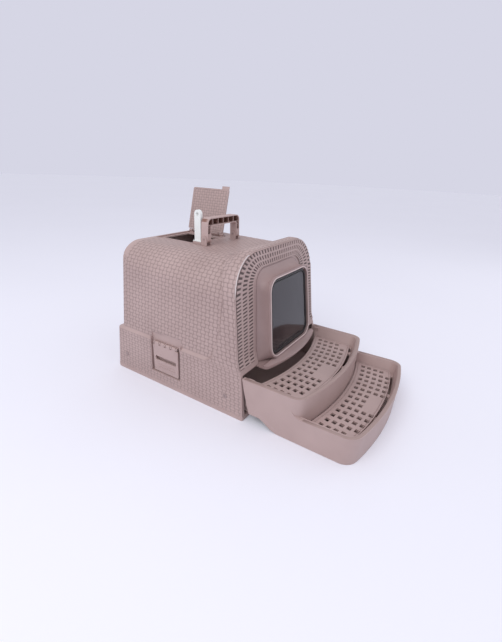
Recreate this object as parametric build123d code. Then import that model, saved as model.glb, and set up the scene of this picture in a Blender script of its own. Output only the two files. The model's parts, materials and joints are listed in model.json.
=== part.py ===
from build123d import *
import os
from math import atan, cos, degrees, radians, sin, sqrt, tan

os.makedirs("parts", exist_ok=True)

# Millimetres, +Z up, door and drawer face -Y, floor at z = 0.
WALL = 3.0            # moulded wall thickness
GAP = 0.3             # seat clearance between separate mouldings
FAR = 260.0           # reach of cutting bodies past the hood, sideways and forwards

# Base tray
BASE_HALF = 208.0
BASE_FRONT = -221.0
BASE_REAR = 235.0
RIM_H = 10.0
RIM_W = 9.0
CORNER_R = 18.0
FOOT_R = 5.0
UPSTAND_TOP = 34.0
RUNNER_X = 115.0
RUNNER_TOP = 14.0

# Hood: half width and rear face at floor level, and how far they lean in per mm of height
MAIN_HALF = 205.0
MAIN_LEAN = 0.050
MAIN_REAR = 218.0
REAR_LEAN = 0.070
SKIRT_LEAN = 0.0385
SKIRT_REAR_LEAN = 0.077
SKIRT_TOP = 127.0
BELT_TOP = 134.0
BORDER_TOP = 300.0
BORDER_Y = -149.0     # rear edge of the raised border
BORDER_RISE = 4.3     # how far the border stands out from the side walls
ROOF_Z = 371.0
ARCH_R_REAR = 62.0
ARCH_R_FRONT = 100.0
BROW_TOP = 392.0      # crest of the raised arch over the front
BROW_R = 96.0
BROW_REAR = -108.0    # where the brow runs out into the roof
FRONT_Y = -200.0      # front face at FRONT_Z
FRONT_Z = 150.0
FRONT_LEAN = 6.4      # degrees
FOOT_KICK = [(-221.0, 0.0), (-215.0, 78.0), (-210.0, 120.0)]

# Front panel
OPEN_HALF = 126.0
OPEN_TOP_HALF = 106.0
OPEN_BOTTOM = 117.0
OPEN_TOP = 347.0
OPEN_CORNER = 40.0
DOOR_PLANE_Y = -221.5
DOOR_PLANE_Z = 227.0
DOOR_LEAN = 6.66
DOOR_HALF_LOW = 106.0
DOOR_HALF_HIGH = 97.0
DOOR_LOW = -96.0      # along the leaning door plane
DOOR_HIGH = 98.0
DOOR_CORNER = 30.0
FLAP_CORNER = 36.0    # flap's upper corners, rounder than the frame's so that they swing clear
PIN_INSET = 19.5      # door pin seats' reach in from the frame edge
LIP_W = 6.5
LIP_H = 5.0
DOOR_GAP = 1.2
DOOR_T = 2.6
BARREL_R = 3.4
PIN_R = 1.5
PIN_RUN = 0.05        # running clearance round a pin
SILL_FRONT = 497.0    # radius of the sill's front edge about ARC_Y
SILL_HALF = 138.0

# Drawer
ARC_Y = 237.0         # centre of all step arcs
STEP_SHARP = 30.0     # corner radius of both tiers
STEP_HALF = 200.0     # half width of both tiers at the floor
STEP_LEAN = 0.015     # outward lean of their sides
RISER_LEAN = 0.035    # outward lean of the upper tier's front
UPPER_R = 633.0
UPPER_TOP = 114.0
LOWER_REAR = -336.0
LOWER_R = 753.0
LOWER_TOP = 70.0
LOWER_FOOT = 64.0     # lower rim height beside the upper tier's foot
TIER_REAR = -213.0
UNDERSIDE = 24.0
DRAWER_FLOOR = 0.5    # drawer's feet above the floor plane
GRID_HALF = 175.0
GRID_T = 5.0
UPPER_GRID_TOP = 88.0
LOWER_GRID_TOP = 44.0
UPPER_GRID_R = (501.0, 606.0)
LOWER_GRID_R = (634.5, 730.0)
GRID_FRONT_GAP = 7.0  # open gap along the front edge of each grid
HOLE_ROWS = 5
HOLE_COLS = 14
HOLE_PITCH = 24.2
ROW_PITCH = 17.0
HOLE_W = 12.0
HOLE_D = 10.5
PAN_HALF = 188.5
PAN_REAR = 210.0
PAN_TOP = 100.0
GUIDE_GAP = 1.0

# Roof pocket, lid, handle, scoop
SEAT_Z = 368.0
LID_T = 3.6
LID_X = (-58.0, 66.0)
LID_Y = (48.0, 182.0)
LID_TAB = (50.0, 75.0)  # finger tab along the free edge
RECESS_X = -68.0
HINGE_X = 70.0
HINGE_Z = 376.0
LID_OPEN = 104.0
HANDLE_X = 64.0
HANDLE_Y = 5.0
HANDLE_Z = 388.0
HANDLE_TOP = 441.0
HANDLE_DEPTH = 22.0
BAR_H = 19.5
LEG_W = 14.0
HANDLE_PIN_R = 2.5
SCOOP_X = -62.0
SCOOP_Y = 32.0
SCOOP_W = 21.0
SCOOP_T = 8.0
SCOOP_TOP = 459.0
SCOOP_SEAT = 378.0
COLLAR_WALL = 2.0
COLLAR_FLANGE = 3.6

# Side latch
LATCH_Y = 32.0
LATCH_W = 90.0
LATCH_LOW = 38.0
LATCH_HIGH = 118.0
LATCH_PIVOT_X = 200.5
LATCH_PIVOT_Z = 123.0
LATCH_T = 4.0
KNUCKLE_R = 4.2
KNUCKLES = 4
KNUCKLE_PITCH = 20.0
KNUCKLE_W = 13.0
EAR_W = 4.0
BUTTON_R = 6.0


def solid_of(shape):
    """Largest single solid of a shape."""
    return shape.solids().sort_by(SortBy.VOLUME)[-1]


def box(x0, x1, y0, y1, z0, z1):
    """Box between two corners."""
    centre = Pos((x0 + x1) / 2, (y0 + y1) / 2, (z0 + z1) / 2)
    return centre * Box(x1 - x0, y1 - y0, z1 - z0)


def mirrored(shape):
    """Same shape on the other side of the box's middle plane."""
    return mirror(shape, about=Plane.YZ)


def rounded(corners, radii):
    """Flat outline through corner points, each corner with its own radius."""
    face = make_face(Polyline(*corners, close=True).edges()).face()
    for corner, radius in zip(corners, radii):
        vertex = face.vertices().sort_by_distance(Vector(*corner))[0]
        face = face.fillet_2d(radius, [vertex])
    return face


def plan_face(z, half, y_rear, rear_radius, y_front=-FAR):
    """Level outline of the hood at one height, rounded at its two rear corners."""
    corners = [(-half, y_front), (half, y_front), (half, y_rear), (-half, y_rear)]
    return Pos(0, 0, z) * rounded(corners, [FOOT_R, FOOT_R, rear_radius, rear_radius])


def side_prism(points, half=FAR):
    """Side view outline (y, z) carried across the whole width."""
    face = make_face(Polyline(*points, close=True).edges()).face()
    return Pos(-half, 0, 0) * extrude(Plane.YZ * face, 2 * half)


def front_y(z):
    """Front face of the hood at a height."""
    return FRONT_Y + (z - FRONT_Z) * tan(radians(FRONT_LEAN))


def arch_face(y, roof, radius, low, lean):
    """Cross section of the hood with leaning sides and rounded shoulders."""
    high = low - lean * roof
    corners = [(-low, 0), (low, 0), (high, roof), (-high, roof)]
    return Plane.XZ.offset(-y) * rounded(corners, [1, 1, radius, radius])


def main_body(inset):
    """Hood above the belt: arched section, drafted rear wall, leaning front."""
    half = MAIN_HALF - inset
    top = ROOF_Z - inset
    arch = loft([arch_face(MAIN_REAR + 20, top, ARCH_R_REAR - inset, half, MAIN_LEAN),
                 arch_face(FRONT_Y - 40, top, ARCH_R_FRONT - inset, half, MAIN_LEAN)])
    slack = 0.6
    height = 400.0
    walls = loft([
        plan_face(0, MAIN_HALF + slack - inset, MAIN_REAR - inset, CORNER_R),
        plan_face(height, MAIN_HALF - MAIN_LEAN * height + slack - inset,
                  MAIN_REAR - REAR_LEAN * height - inset, CORNER_R)])
    return arch & walls & front_cut(inset)


def front_cut(inset):
    """Everything behind the hood's front edge line, feet kicked forward."""
    edge = [(y + inset, z) for y, z in FOOT_KICK]
    edge[0] = (edge[0][0], -1.0)
    edge.append((front_y(FRONT_Z) + inset, FRONT_Z))
    edge.append((front_y(400.0) + inset, 400.0))
    return side_prism(edge + [(FAR, 400.0), (FAR, -1.0)])


def skirt_body(inset, foot):
    """Skirt that stands out below the belt and ramps back at its top."""
    def level(z, half, rear):
        return plan_face(z, half - inset, rear - inset, CORNER_R)
    half = BASE_HALF - SKIRT_LEAN * SKIRT_TOP
    rear = BASE_REAR - SKIRT_REAR_LEAN * SKIRT_TOP
    belt_half = MAIN_HALF - MAIN_LEAN * BELT_TOP - 0.3
    belt_rear = MAIN_REAR - REAR_LEAN * BELT_TOP - 0.3
    wall = loft([level(foot, BASE_HALF - SKIRT_LEAN * foot, BASE_REAR - SKIRT_REAR_LEAN * foot),
                 level(SKIRT_TOP, half, rear)], ruled=True)
    ramp = loft([level(SKIRT_TOP, half, rear), level(BELT_TOP, belt_half, belt_rear)], ruled=True)
    return (wall + ramp) & front_cut(inset)


def border_body():
    """Raised border along the front edge, swept down into the skirt by a hollow curve."""
    low = 120.0
    half = MAIN_HALF + BORDER_RISE
    wall = loft([plan_face(z, half - MAIN_LEAN * z, MAIN_REAR, CORNER_R) for z in (low, BORDER_TOP)])
    sweep = Spline((-96, 127), (-132, 168), (-149, 292), tangents=[(-1, 0.12), (-0.05, 1)])
    edge = [sweep, Polyline((-149, 292), (-149, 305), (-FAR, 305), (-FAR, 110), (-96, 110), (-96, 127))]
    face = make_face(edge[0].edges() + edge[1].edges()).face()
    region = Pos(-FAR, 0, 0) * extrude(Plane.YZ * face, 2 * FAR)
    return wall & region & front_cut(0)


def brow(inset):
    """Raised arch over the front that carries the border across the roof."""
    sunk = 0.4
    main_half = MAIN_HALF - sunk - inset
    half = MAIN_HALF + BORDER_RISE - inset
    top = BROW_TOP - inset
    radius = BROW_R - inset
    arch = loft([
        arch_face(BROW_REAR, ROOF_Z - sunk - inset, ARCH_R_FRONT - 12 - inset, main_half, MAIN_LEAN),
        arch_face(BORDER_Y, top, radius, half, MAIN_LEAN),
        arch_face(BORDER_Y - 17, top, radius, half, MAIN_LEAN),
        arch_face(BORDER_Y - 27, top - 4, radius, half, MAIN_LEAN),
        arch_face(-FAR, top - 4, radius, half, MAIN_LEAN)], ruled=True)
    slope = [(BORDER_Y, BORDER_TOP - 8), (BORDER_Y + 9, 335.0), (BROW_REAR, 372.0), (BROW_REAR, 420.0),
             (-FAR, 420.0), (-FAR, BORDER_TOP - 8)]
    return arch & side_prism(slope) & front_cut(inset)


def opening_outline(inset):
    """Front view outline of the arch opening (x, height)."""
    half_low, half_high = OPEN_HALF - inset, OPEN_TOP_HALF - inset
    return [(-half_low, OPEN_BOTTOM), (half_low, OPEN_BOTTOM),
            (half_high, OPEN_TOP - inset), (-half_high, OPEN_TOP - inset)]


def lid_outline(inset, left=LID_X[0]):
    """Plan of the lid or of its recess."""
    x0, x1 = left + inset, LID_X[1] - inset
    y0, y1 = LID_Y[0] + inset, LID_Y[1] - inset
    return rounded([(x0, y0), (x1, y0), (x1, y1), (x0, y1)], [5, 3, 3, 5])


def latch_pocket():
    """Recess that takes one side latch, left side."""
    y0, y1 = LATCH_Y - LATCH_W / 2 - 7, LATCH_Y + LATCH_W / 2 + 7
    return box(-BASE_HALF - 5, -196, y0, y1, LATCH_LOW - 2, 150)


def latch_housing():
    """Walls behind and below the latch recess, left side."""
    y0, y1 = LATCH_Y - LATCH_W / 2 - 10, LATCH_Y + LATCH_W / 2 + 10
    block = box(-204, -193.5, y0, y1, LATCH_LOW - 4.5, 136)
    nib = box(-197, -190, LATCH_Y - 16, LATCH_Y + 16, 42.5, 51)
    return block, nib


def latch_ears():
    """Hinge ears of the hood between the latch knuckles, left side."""
    ears = None
    for k in range(KNUCKLES + 1):
        y = LATCH_Y + (k - KNUCKLES / 2) * KNUCKLE_PITCH
        stem = box(-LATCH_PIVOT_X, -194, y - EAR_W / 2, y + EAR_W / 2,
                   LATCH_PIVOT_Z - KNUCKLE_R, LATCH_PIVOT_Z + KNUCKLE_R)
        knob = Pos(-LATCH_PIVOT_X, y, LATCH_PIVOT_Z) * Rot(90, 0, 0) * Cylinder(KNUCKLE_R, EAR_W)
        ear = stem + knob
        ears = ear if ears is None else ears + ear
    return ears - latch_bore()


def latch_bore():
    """Bore for the latch pin through ears and knuckles, left side."""
    length = LATCH_W + 40
    return (Pos(-LATCH_PIVOT_X, LATCH_Y, LATCH_PIVOT_Z) * Rot(90, 0, 0)
            * Cylinder(PIN_R + PIN_RUN, length))


def button_spots():
    """Centres (y, z) of the round snap buttons on each side."""
    return [(186.0, 52.0), (-167.0, 51.0)]


def button_holes():
    """Round seats of the snap buttons through both skirt walls."""
    holes = None
    for y, z in button_spots():
        hole = Pos(0, y, z) * Rot(0, 90, 0) * Cylinder(BUTTON_R + GAP, 2 * FAR)
        holes = hole if holes is None else holes + hole
    return holes


def roof_pocket():
    """Block under the roof that carries the lid seat, and the two cuts in it."""
    floor_t = 4.0
    block = box(RECESS_X - 3, HINGE_X + 9, LID_Y[0] - 3, LID_Y[1] + 3, SEAT_Z - floor_t, ROOF_Z - 1)
    trough = box(LID_X[1] - 4, HINGE_X + 6, LID_Y[0] - 0.2, LID_Y[1] + 0.2, SEAT_Z, SEAT_Z + 20)
    recess = extrude(Pos(0, 0, SEAT_Z) * lid_outline(-0.2, RECESS_X), 20) + trough
    ledge = 9.0
    hole = extrude(Pos(0, 0, SEAT_Z - 20) * lid_outline(ledge), 40)
    return block, recess, hole


def scoop_slot(clear, z0, z1):
    """Slot for the scoop's handle."""
    return box(SCOOP_X - SCOOP_T / 2 - clear, SCOOP_X + SCOOP_T / 2 + clear,
               SCOOP_Y - SCOOP_W / 2 - clear, SCOOP_Y + SCOOP_W / 2 + clear, z0, z1)


def hinge_bosses():
    """Roof knuckles that carry the lid's rod."""
    bosses = None
    for y in (LID_Y[0] + 8, (LID_Y[0] + LID_Y[1]) / 2, LID_Y[1] - 8):
        knob = Pos(HINGE_X, y, HINGE_Z) * Rot(90, 0, 0) * Cylinder(KNUCKLE_R, 12)
        foot = box(HINGE_X - 1.6, HINGE_X + KNUCKLE_R, y - 6, y + 6, SEAT_Z, HINGE_Z)
        bosses = knob + foot if bosses is None else bosses + knob + foot
    return bosses


def rod(radius, extra=0.0):
    """Lid hinge rod, optionally longer for a bore."""
    length = LID_Y[1] - LID_Y[0] - 4 + extra
    return (Pos(HINGE_X, (LID_Y[0] + LID_Y[1]) / 2, HINGE_Z) * Rot(90, 0, 0)
            * Cylinder(radius, length))


def handle_ears():
    """Four upright ears on the roof that hold the carry handle's feet."""
    ears = None
    thick = 2.4
    for side in (-1, 1):
        for face in (-1, 1):
            x = side * HANDLE_X + face * (LEG_W / 2 + GAP + thick / 2)
            base = box(x - thick / 2, x + thick / 2, HANDLE_Y - 9, HANDLE_Y + 9,
                       ROOF_Z - 2, HANDLE_Z)
            knob = Pos(x, HANDLE_Y, HANDLE_Z) * Rot(0, 90, 0) * Cylinder(9, thick)
            ears = base + knob if ears is None else ears + base + knob
    bore = Pos(0, HANDLE_Y, HANDLE_Z) * Rot(0, 90, 0) * Cylinder(HANDLE_PIN_R + PIN_RUN, 300)
    return ears - bore


def hood_shell():
    """Whole hood as one hollow moulding."""
    outer = main_body(0) + skirt_body(0, RIM_H + GAP) + border_body() + brow(0)
    inner = main_body(WALL) + (skirt_body(WALL, -1) & box(-FAR, FAR, -FAR, FAR, -2, SKIRT_TOP - WALL))
    shell = outer - inner - brow(WALL)
    arch = rounded(opening_outline(0), [1, 1, OPEN_CORNER, OPEN_CORNER])
    shell -= extrude(Plane.XZ.offset(FAR) * arch, -110)
    shell -= box(-196, 196, -FAR, -150, 0, OPEN_BOTTOM + 1)
    shell -= box(-FAR, FAR, -FAR, FAR, -5, RIM_H + GAP)
    block, nib = latch_housing()
    housing = block + mirrored(block)
    shell += housing
    pocket = latch_pocket() + nib
    shell -= pocket + mirrored(pocket)
    ears = latch_ears()
    shell += ears + mirrored(ears)
    shell -= button_holes()
    seat, recess, hole = roof_pocket()
    shell += seat
    shell -= recess + hole
    shell -= scoop_slot(COLLAR_WALL + GAP, 350, 400)
    shell += hinge_bosses()
    shell -= rod(PIN_R + PIN_RUN, 8)
    shell += handle_ears()
    return solid_of(shell)


def base_tray():
    """Shallow tray: rim, floor, upstand, runners, guides and latch catches."""
    rim = extrude(plan_face(0, BASE_HALF, BASE_REAR, CORNER_R, BASE_FRONT), RIM_H)
    hollow = extrude(plan_face(WALL, BASE_HALF - RIM_W, BASE_REAR - RIM_W, CORNER_R - RIM_W,
                               BASE_FRONT + RIM_W), RIM_H)
    tray = rim - hollow
    out = BASE_HALF - SKIRT_LEAN * UPSTAND_TOP - WALL - 2 * GAP
    rear = BASE_REAR - SKIRT_REAR_LEAN * UPSTAND_TOP - WALL - 2 * GAP
    wall = extrude(plan_face(RIM_H - 1, out, rear, CORNER_R, -190), UPSTAND_TOP - RIM_H + 1)
    wall -= extrude(plan_face(RIM_H - 2, out - WALL, rear - WALL, CORNER_R - WALL, -290), UPSTAND_TOP)
    wall -= box(-FAR, FAR, LATCH_Y - 56, LATCH_Y + 56, LATCH_LOW - 6, FAR)
    tray += wall
    guide = PAN_HALF + GUIDE_GAP
    for side in (-1, 1):
        x = side * RUNNER_X
        tray += box(x - 5, x + 5, BASE_FRONT + RIM_W, BASE_REAR - 16, WALL - 1, RUNNER_TOP)
        x0, x1 = sorted((side * guide, side * (guide + WALL)))
        tray += box(x0, x1, BASE_FRONT + 16, BASE_REAR - 16, WALL - 1, 30)
        post = box(x0, x1, LATCH_Y - 22, LATCH_Y + 22, 28, 56)
        tray += post - box(x0 - 1, x1 + 1, LATCH_Y - 15, LATCH_Y + 15, 43.5, 50)
    for y in (-140, -40, 60, 160):
        tray += box(-guide, guide, y - 1.5, y + 1.5, WALL - 1, 8)
    tray += box(-60, 60, PAN_REAR + GAP, PAN_REAR + GAP + WALL, WALL - 1, 26)
    return solid_of(tray)


def snap_button(side, y, z):
    """Domed round button in its skirt seat."""
    face = BASE_HALF - SKIRT_LEAN * z
    body = Cylinder(BUTTON_R, 5.0)
    groove = Pos(0, 0, 2.5) * Box(8.0, 1.6, 1.2)
    knob = fillet(body.edges().group_by(Axis.Z)[-1], 1.4) - groove
    return Pos(side * (face - 1.3), y, z) * Rot(0, side * 90, 0) * knob


def lean_plane(y, z, angle, forward=0.0):
    """Plane of a front that leans back, moved forward along its own normal."""
    normal = Vector(0, -cos(radians(angle)), sin(radians(angle)))
    return Plane(origin=Vector(0, y, z) + normal * forward, x_dir=(1, 0, 0), z_dir=normal)


def lean_outline(low_half, high_half, low, high, low_radius, high_radius):
    """Tapered rounded outline on a leaning plane."""
    corners = [(-low_half, low), (low_half, low), (high_half, high), (-high_half, high)]
    return rounded(corners, [low_radius, low_radius, high_radius, high_radius])


def funnel(inset, back, front):
    """Band from the arch opening forward to the door frame, hollow in section."""
    rear = lean_plane(FRONT_Y, FRONT_Z, FRONT_LEAN, back)
    middle = lean_plane((FRONT_Y + DOOR_PLANE_Y) / 2, (FRONT_Z + DOOR_PLANE_Z) / 2, DOOR_LEAN)
    face = lean_plane(DOOR_PLANE_Y, DOOR_PLANE_Z, DOOR_LEAN, front)
    g = GAP + inset
    low = (OPEN_BOTTOM - FRONT_Z) / cos(radians(FRONT_LEAN)) + g
    high = (OPEN_TOP - FRONT_Z) / cos(radians(FRONT_LEAN)) - g
    lip = LIP_W + 0.8 - inset
    half_low, half_high = DOOR_HALF_LOW + lip, DOOR_HALF_HIGH + lip
    down, up = DOOR_LOW - lip, DOOR_HIGH + lip
    rise = (DOOR_PLANE_Z - FRONT_Z) / 2
    return loft([
        rear * lean_outline(OPEN_HALF - g, OPEN_TOP_HALF - g, low, high, 4, OPEN_CORNER - g),
        middle * lean_outline(half_low + 1, half_high - 0.5, down + rise - 3, up + rise + 1,
                              22, OPEN_CORNER - g),
        face * lean_outline(half_low, half_high, down, up, DOOR_CORNER + lip, DOOR_CORNER + lip)])


def door_outline(inset, upper_corner=DOOR_CORNER):
    """Outline of the door opening on the door plane."""
    return lean_outline(DOOR_HALF_LOW - inset, DOOR_HALF_HIGH - inset, DOOR_LOW + inset,
                        DOOR_HIGH - inset, DOOR_CORNER - inset, upper_corner - inset)


def sill():
    """Convex shelf under the door, sloping forward and down."""
    low = OPEN_BOTTOM + GAP
    inner = OPEN_HALF - 2 * GAP
    shelf = tier_outline(SILL_HALF, -211.5, SILL_FRONT, 12)
    body = extrude(Pos(0, 0, low - 1) * shelf, 20)
    profile = [(-200, low), (-200, low + WALL), (-224, low + WALL), (-231, low + 8.5), (-237, low + 8),
               (-250, low + 6), (-257, low + 4.0), (-262, low + 1.0), (-262, low)]
    return (body + box(-inner, inner, -213, -206, low - 1, 200)) & side_prism(profile)


def front_panel():
    """Front moulding: concave band, door frame with lip, sill and rear flange."""
    plane = lean_plane(DOOR_PLANE_Y, DOOR_PLANE_Z, DOOR_LEAN)
    panel = funnel(0, 0.0, 0.0) - funnel(WALL, -0.5, -WALL - 0.4)
    flange = lean_plane(FRONT_Y, FRONT_Z, FRONT_LEAN, -WALL - GAP)
    low = (OPEN_BOTTOM - FRONT_Z) / cos(radians(FRONT_LEAN)) + 1 + GAP
    high = (OPEN_TOP - FRONT_Z) / cos(radians(FRONT_LEAN))
    ring = lean_outline(OPEN_HALF + 7, OPEN_TOP_HALF + 7, low, high + 7, 4, OPEN_CORNER + 5)
    hole = lean_outline(OPEN_HALF - 4, OPEN_TOP_HALF - 4, low + 3, high - 4, 4, OPEN_CORNER - 2)
    back = extrude(flange * ring, -WALL) - extrude(flange * hole, 2 * WALL, both=True)
    tongue = lean_outline(OPEN_HALF - GAP, OPEN_TOP_HALF - GAP, low, high - GAP, 4, OPEN_CORNER)
    neck = extrude(flange * tongue, WALL + 1.5) - extrude(flange * hole, 20, both=True)
    lip = plane * lean_outline(DOOR_HALF_LOW + LIP_W, DOOR_HALF_HIGH + LIP_W, DOOR_LOW - LIP_W,
                               DOOR_HIGH + LIP_W, DOOR_CORNER + LIP_W, DOOR_CORNER + LIP_W)
    panel += back + neck
    panel += extrude(lip, LIP_H)
    panel += sill()
    panel -= extrude(plane * door_outline(0), 30, both=True)
    seats, bores = pin_seats()
    return solid_of(panel + seats - bores)


def door_axis():
    """Height of the door pivot along the door plane, its depth behind the plane."""
    return DOOR_HIGH - DOOR_GAP - BARREL_R - 1.0, -2.0


def pin_half(side):
    """Side position of the door frame edge at the pivot height."""
    v = door_axis()[0]
    share = (v - DOOR_LOW) / (DOOR_HIGH - DOOR_LOW)
    return side * (DOOR_HALF_LOW + (DOOR_HALF_HIGH - DOOR_HALF_LOW) * share)


def across(radius, x0, x1):
    """Cylinder along X on the door pivot."""
    v, w = door_axis()
    plane = lean_plane(DOOR_PLANE_Y, DOOR_PLANE_Z, DOOR_LEAN)
    centre = plane.from_local_coords(Vector(0, v, w))
    return Pos((x0 + x1) / 2, centre.Y, centre.Z) * Rot(0, 90, 0) * Cylinder(radius, x1 - x0)


def pin_seats():
    """Bossed seats in the two upper corners of the door frame, and their bores."""
    reach = pin_half(1) - PIN_INSET
    seats = across(BARREL_R, -reach - 18, reach + 18) - across(2 * BARREL_R, -reach, reach)
    return seats, across(PIN_R + PIN_RUN, -reach - 15, reach + 15)


def flap_door():
    """Smoky flap with a barrel along its top and a grip rib near its bottom."""
    plane = lean_plane(DOOR_PLANE_Y, DOOR_PLANE_Z, DOOR_LEAN)
    v, w = door_axis()
    half = pin_half(1) - PIN_INSET - GAP
    outline = door_outline(DOOR_GAP, FLAP_CORNER)
    plate = extrude(plane * Pos(0, 0, w - DOOR_T / 2) * outline, DOOR_T)
    plate -= plane * Pos(0, DOOR_HIGH, w) * Box(400, 2 * (DOOR_HIGH - v), 20)
    for side in (-1, 1):
        plate -= plane * Pos(side * (half + 20), v, w) * Box(40, 14, 20)
    rib = plane * Pos(0, DOOR_LOW + 14, w) * Box(120, 3, DOOR_T + 4)
    barrel = across(BARREL_R, -half, half)
    bore = across(PIN_R + PIN_RUN, half - 12, half + 1) + across(PIN_R + PIN_RUN, -half - 1, 12 - half)
    return solid_of(plate + rib + barrel - bore)


def door_pin(side):
    """Short pin between frame corner and door barrel."""
    half = pin_half(1) - PIN_INSET - GAP
    x0, x1 = sorted((side * (half - 11), side * (half + 14)))
    return across(PIN_R, x0, x1)


def tier_outline(half, y_rear, radius, corner):
    """Step plan: straight sides, front edge on an arc about the common centre."""
    reach = 1000.0
    strip = Pos(0, y_rear - reach / 2) * Rectangle(2 * half, reach)
    area = (strip & Pos(0, ARC_Y) * Circle(radius)).face()
    front = area.vertices().sort_by(Axis.Y)[:2]
    return area.fillet_2d(corner, front)


def tier(levels):
    """Lofted step body through (z, half, rear, radius, corner) levels."""
    return loft([Pos(0, 0, z) * tier_outline(half, rear, radius, corner)
                 for z, half, rear, radius, corner in levels])


def drawer_side(lift, top):
    """Side view of the drawer's front part, raised underside behind the toe."""
    u = UNDERSIDE + lift
    f = DRAWER_FLOOR + lift
    return [(TIER_REAR, top), (TIER_REAR, top - 2), (-219, 80), (-234, u), (-262, u), (-272, u - 4),
            (-282, (u + f) / 2 + 1), (-294, f + 5), (-310, f), (-600, f), (-600, top)]


def drawer_tray():
    """Two curved step tiers in front of a litter pan, one moulding with thin walls."""
    upper, lower = step_blocks(0)
    kept = upper_hollow(WALL) + pan_hollow(WALL) + lower_hollow(WALL, WALL)
    inside_upper, inside_lower = step_blocks(WALL)
    inside = (Pos(0, 0, -WALL) * inside_upper + inside_lower) & side_prism(
        drawer_side(-2 * UNDERSIDE, UPPER_TOP - WALL))
    underside = inside - kept - box(-FAR, FAR, TIER_REAR - WALL, FAR, -FAR, FAR)
    steps = (lower - lower_hollow(0, WALL + 1) + upper) & side_prism(drawer_side(0, UPPER_TOP))
    drawer = steps + pan_outer() - upper_hollow(0) - pan_hollow(0) - underside
    lugs = (grid_lugs(UPPER_GRID_R[1], UPPER_GRID_TOP) + grid_lugs(LOWER_GRID_R[1], LOWER_GRID_TOP))
    return solid_of(drawer + posts() + lugs)


def step_half(z):
    """Half width of both tiers at a height."""
    return STEP_HALF + STEP_LEAN * z


def riser_r(z):
    """Radius of the upper tier's front face at a height."""
    return UPPER_R - RISER_LEAN * (UPPER_TOP - z)


def step_blocks(inset):
    """Outer bodies of both tiers, the lower rim rising to the upper tier in a hollow curve."""
    top = 90.0
    sharp = STEP_SHARP - inset
    upper = tier([(z, step_half(z) - inset, TIER_REAR, riser_r(z) - inset, sharp)
                  for z in (0, UPPER_TOP)])
    side = 1.2 * inset
    lower = tier([(0, step_half(0) - side, LOWER_REAR, LOWER_R - 3.5 - inset, sharp + 4),
                  (top, step_half(top) - side, LOWER_REAR, LOWER_R + 1 - inset, sharp + 4)])
    rise = arc_profile([(-341, top - 1 - inset), (-349, 74 - inset), (-373, LOWER_FOOT + 3 - inset)])
    edge = [(LOWER_REAR, 0), (LOWER_REAR, top - 1 - inset)] + rise
    edge += [(-600, LOWER_TOP + 2 - inset), (-600, 0)]
    return upper, lower & side_prism(edge)


def grid_lugs(radius, top):
    """Small lugs on the front wall of a recess that carry the grid's front edge."""
    lugs = None
    for angle in (-13.0, -4.5, 4.5, 13.0):
        lug = (Pos(0, ARC_Y, 0) * Rot(0, 0, angle)
               * Pos(0, -radius - (GRID_FRONT_GAP - 4) / 2, top - GRID_T - GAP - 2.5)
               * Box(14, GRID_FRONT_GAP + 6, 5))
        lugs = lug if lugs is None else lugs + lug
    return lugs


def lower_hollow(grow, behind):
    """Recess over the lower grid's seat and the catch well beneath it."""
    seat = LOWER_GRID_TOP - GRID_T - GAP - grow
    back = -330
    rim = LOWER_GRID_R[1] + GRID_FRONT_GAP + grow
    recess = tier([(seat, GRID_HALF + 2 + grow, back, rim, 16),
                   (90, step_half(90) - 4 + grow, back, LOWER_R - 5 + grow, STEP_SHARP)])
    well = tier([(-5, GRID_HALF - 5 + grow, back, rim - 0.6, 14),
                 (60, GRID_HALF - 4 + grow, back, rim - 0.3, 14)])
    well -= Pos(0, ARC_Y, 0) * Cylinder(LOWER_GRID_R[0] + 5 - grow, 400)
    recess -= step_core(behind)
    return recess + (well & side_prism(drawer_side(WALL - grow, 60)))


def step_core(behind):
    """Bound of the lower recess, a distance behind the upper tier's front face."""
    return tier([(z, STEP_HALF + 20, 100, riser_r(z) - behind, 1) for z in (0, UPPER_TOP)])


def arc_profile(points):
    """Three-point hollow curve as a short chain of points."""
    curve = ThreePointArc(*points)
    return [((curve @ t).X, (curve @ t).Y) for t in (0, 0.25, 0.5, 0.75, 1)]


def pan_outer():
    """Litter pan body with its rolled rim, standing on the runners."""
    z0 = RUNNER_TOP + GAP
    body = loft([plan_face(z0, PAN_HALF - 5, PAN_REAR - 4, 24, TIER_REAR - 16),
                 plan_face(PAN_TOP, PAN_HALF, PAN_REAR, 26, TIER_REAR - 16)])
    rim = extrude(plan_face(PAN_TOP - 4, PAN_HALF + 3, PAN_REAR + 3, 28, TIER_REAR - 1), 4)
    return body + rim


def pan_hollow(grow):
    """Room for litter, ending at the curved wall that carries the upper grid."""
    z0 = RUNNER_TOP + GAP + WALL - grow
    half = PAN_HALF - WALL + grow
    rear = PAN_REAR - WALL + grow
    room = loft([plan_face(z0, half - 5, rear - 4, 22 + grow, -320),
                 plan_face(PAN_TOP + 20, half, rear, 24 + grow, -320)])
    low = UNDERSIDE + WALL - grow
    floor = [(240, 5), (-214, 5), (-216, z0), (-236, low), (-300, low), (-300, 150), (240, 150)]
    return room & Pos(0, ARC_Y, 100) * Cylinder(UPPER_GRID_R[0] - 3 + grow, 300) & side_prism(floor)


def upper_hollow(grow):
    """Step recess over the upper grid's seat and the catch well beneath it."""
    seat = UPPER_GRID_TOP - GRID_T - GAP - grow
    rim = UPPER_GRID_R[1] + GRID_FRONT_GAP + grow
    recess = tier([(seat, GRID_HALF + 2 + grow, 100, rim, 14),
                   (UPPER_TOP + 1, STEP_HALF - 9 + grow, 100, UPPER_R - 10 + grow, STEP_SHARP - 6)])
    well = tier([(-5, GRID_HALF - 5 + grow, 100, rim - 0.5, 14),
                 (seat + 1, GRID_HALF - 5 + grow, 100, rim - 0.5, 14)])
    well -= Pos(0, ARC_Y, 100) * Cylinder(UPPER_GRID_R[0] + 4 - grow, 300)
    reach = box(-FAR, FAR, -600, TIER_REAR + 1, seat, 200)
    return (recess & reach) + (well & side_prism(drawer_side(WALL - grow, seat + 1)))


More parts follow.
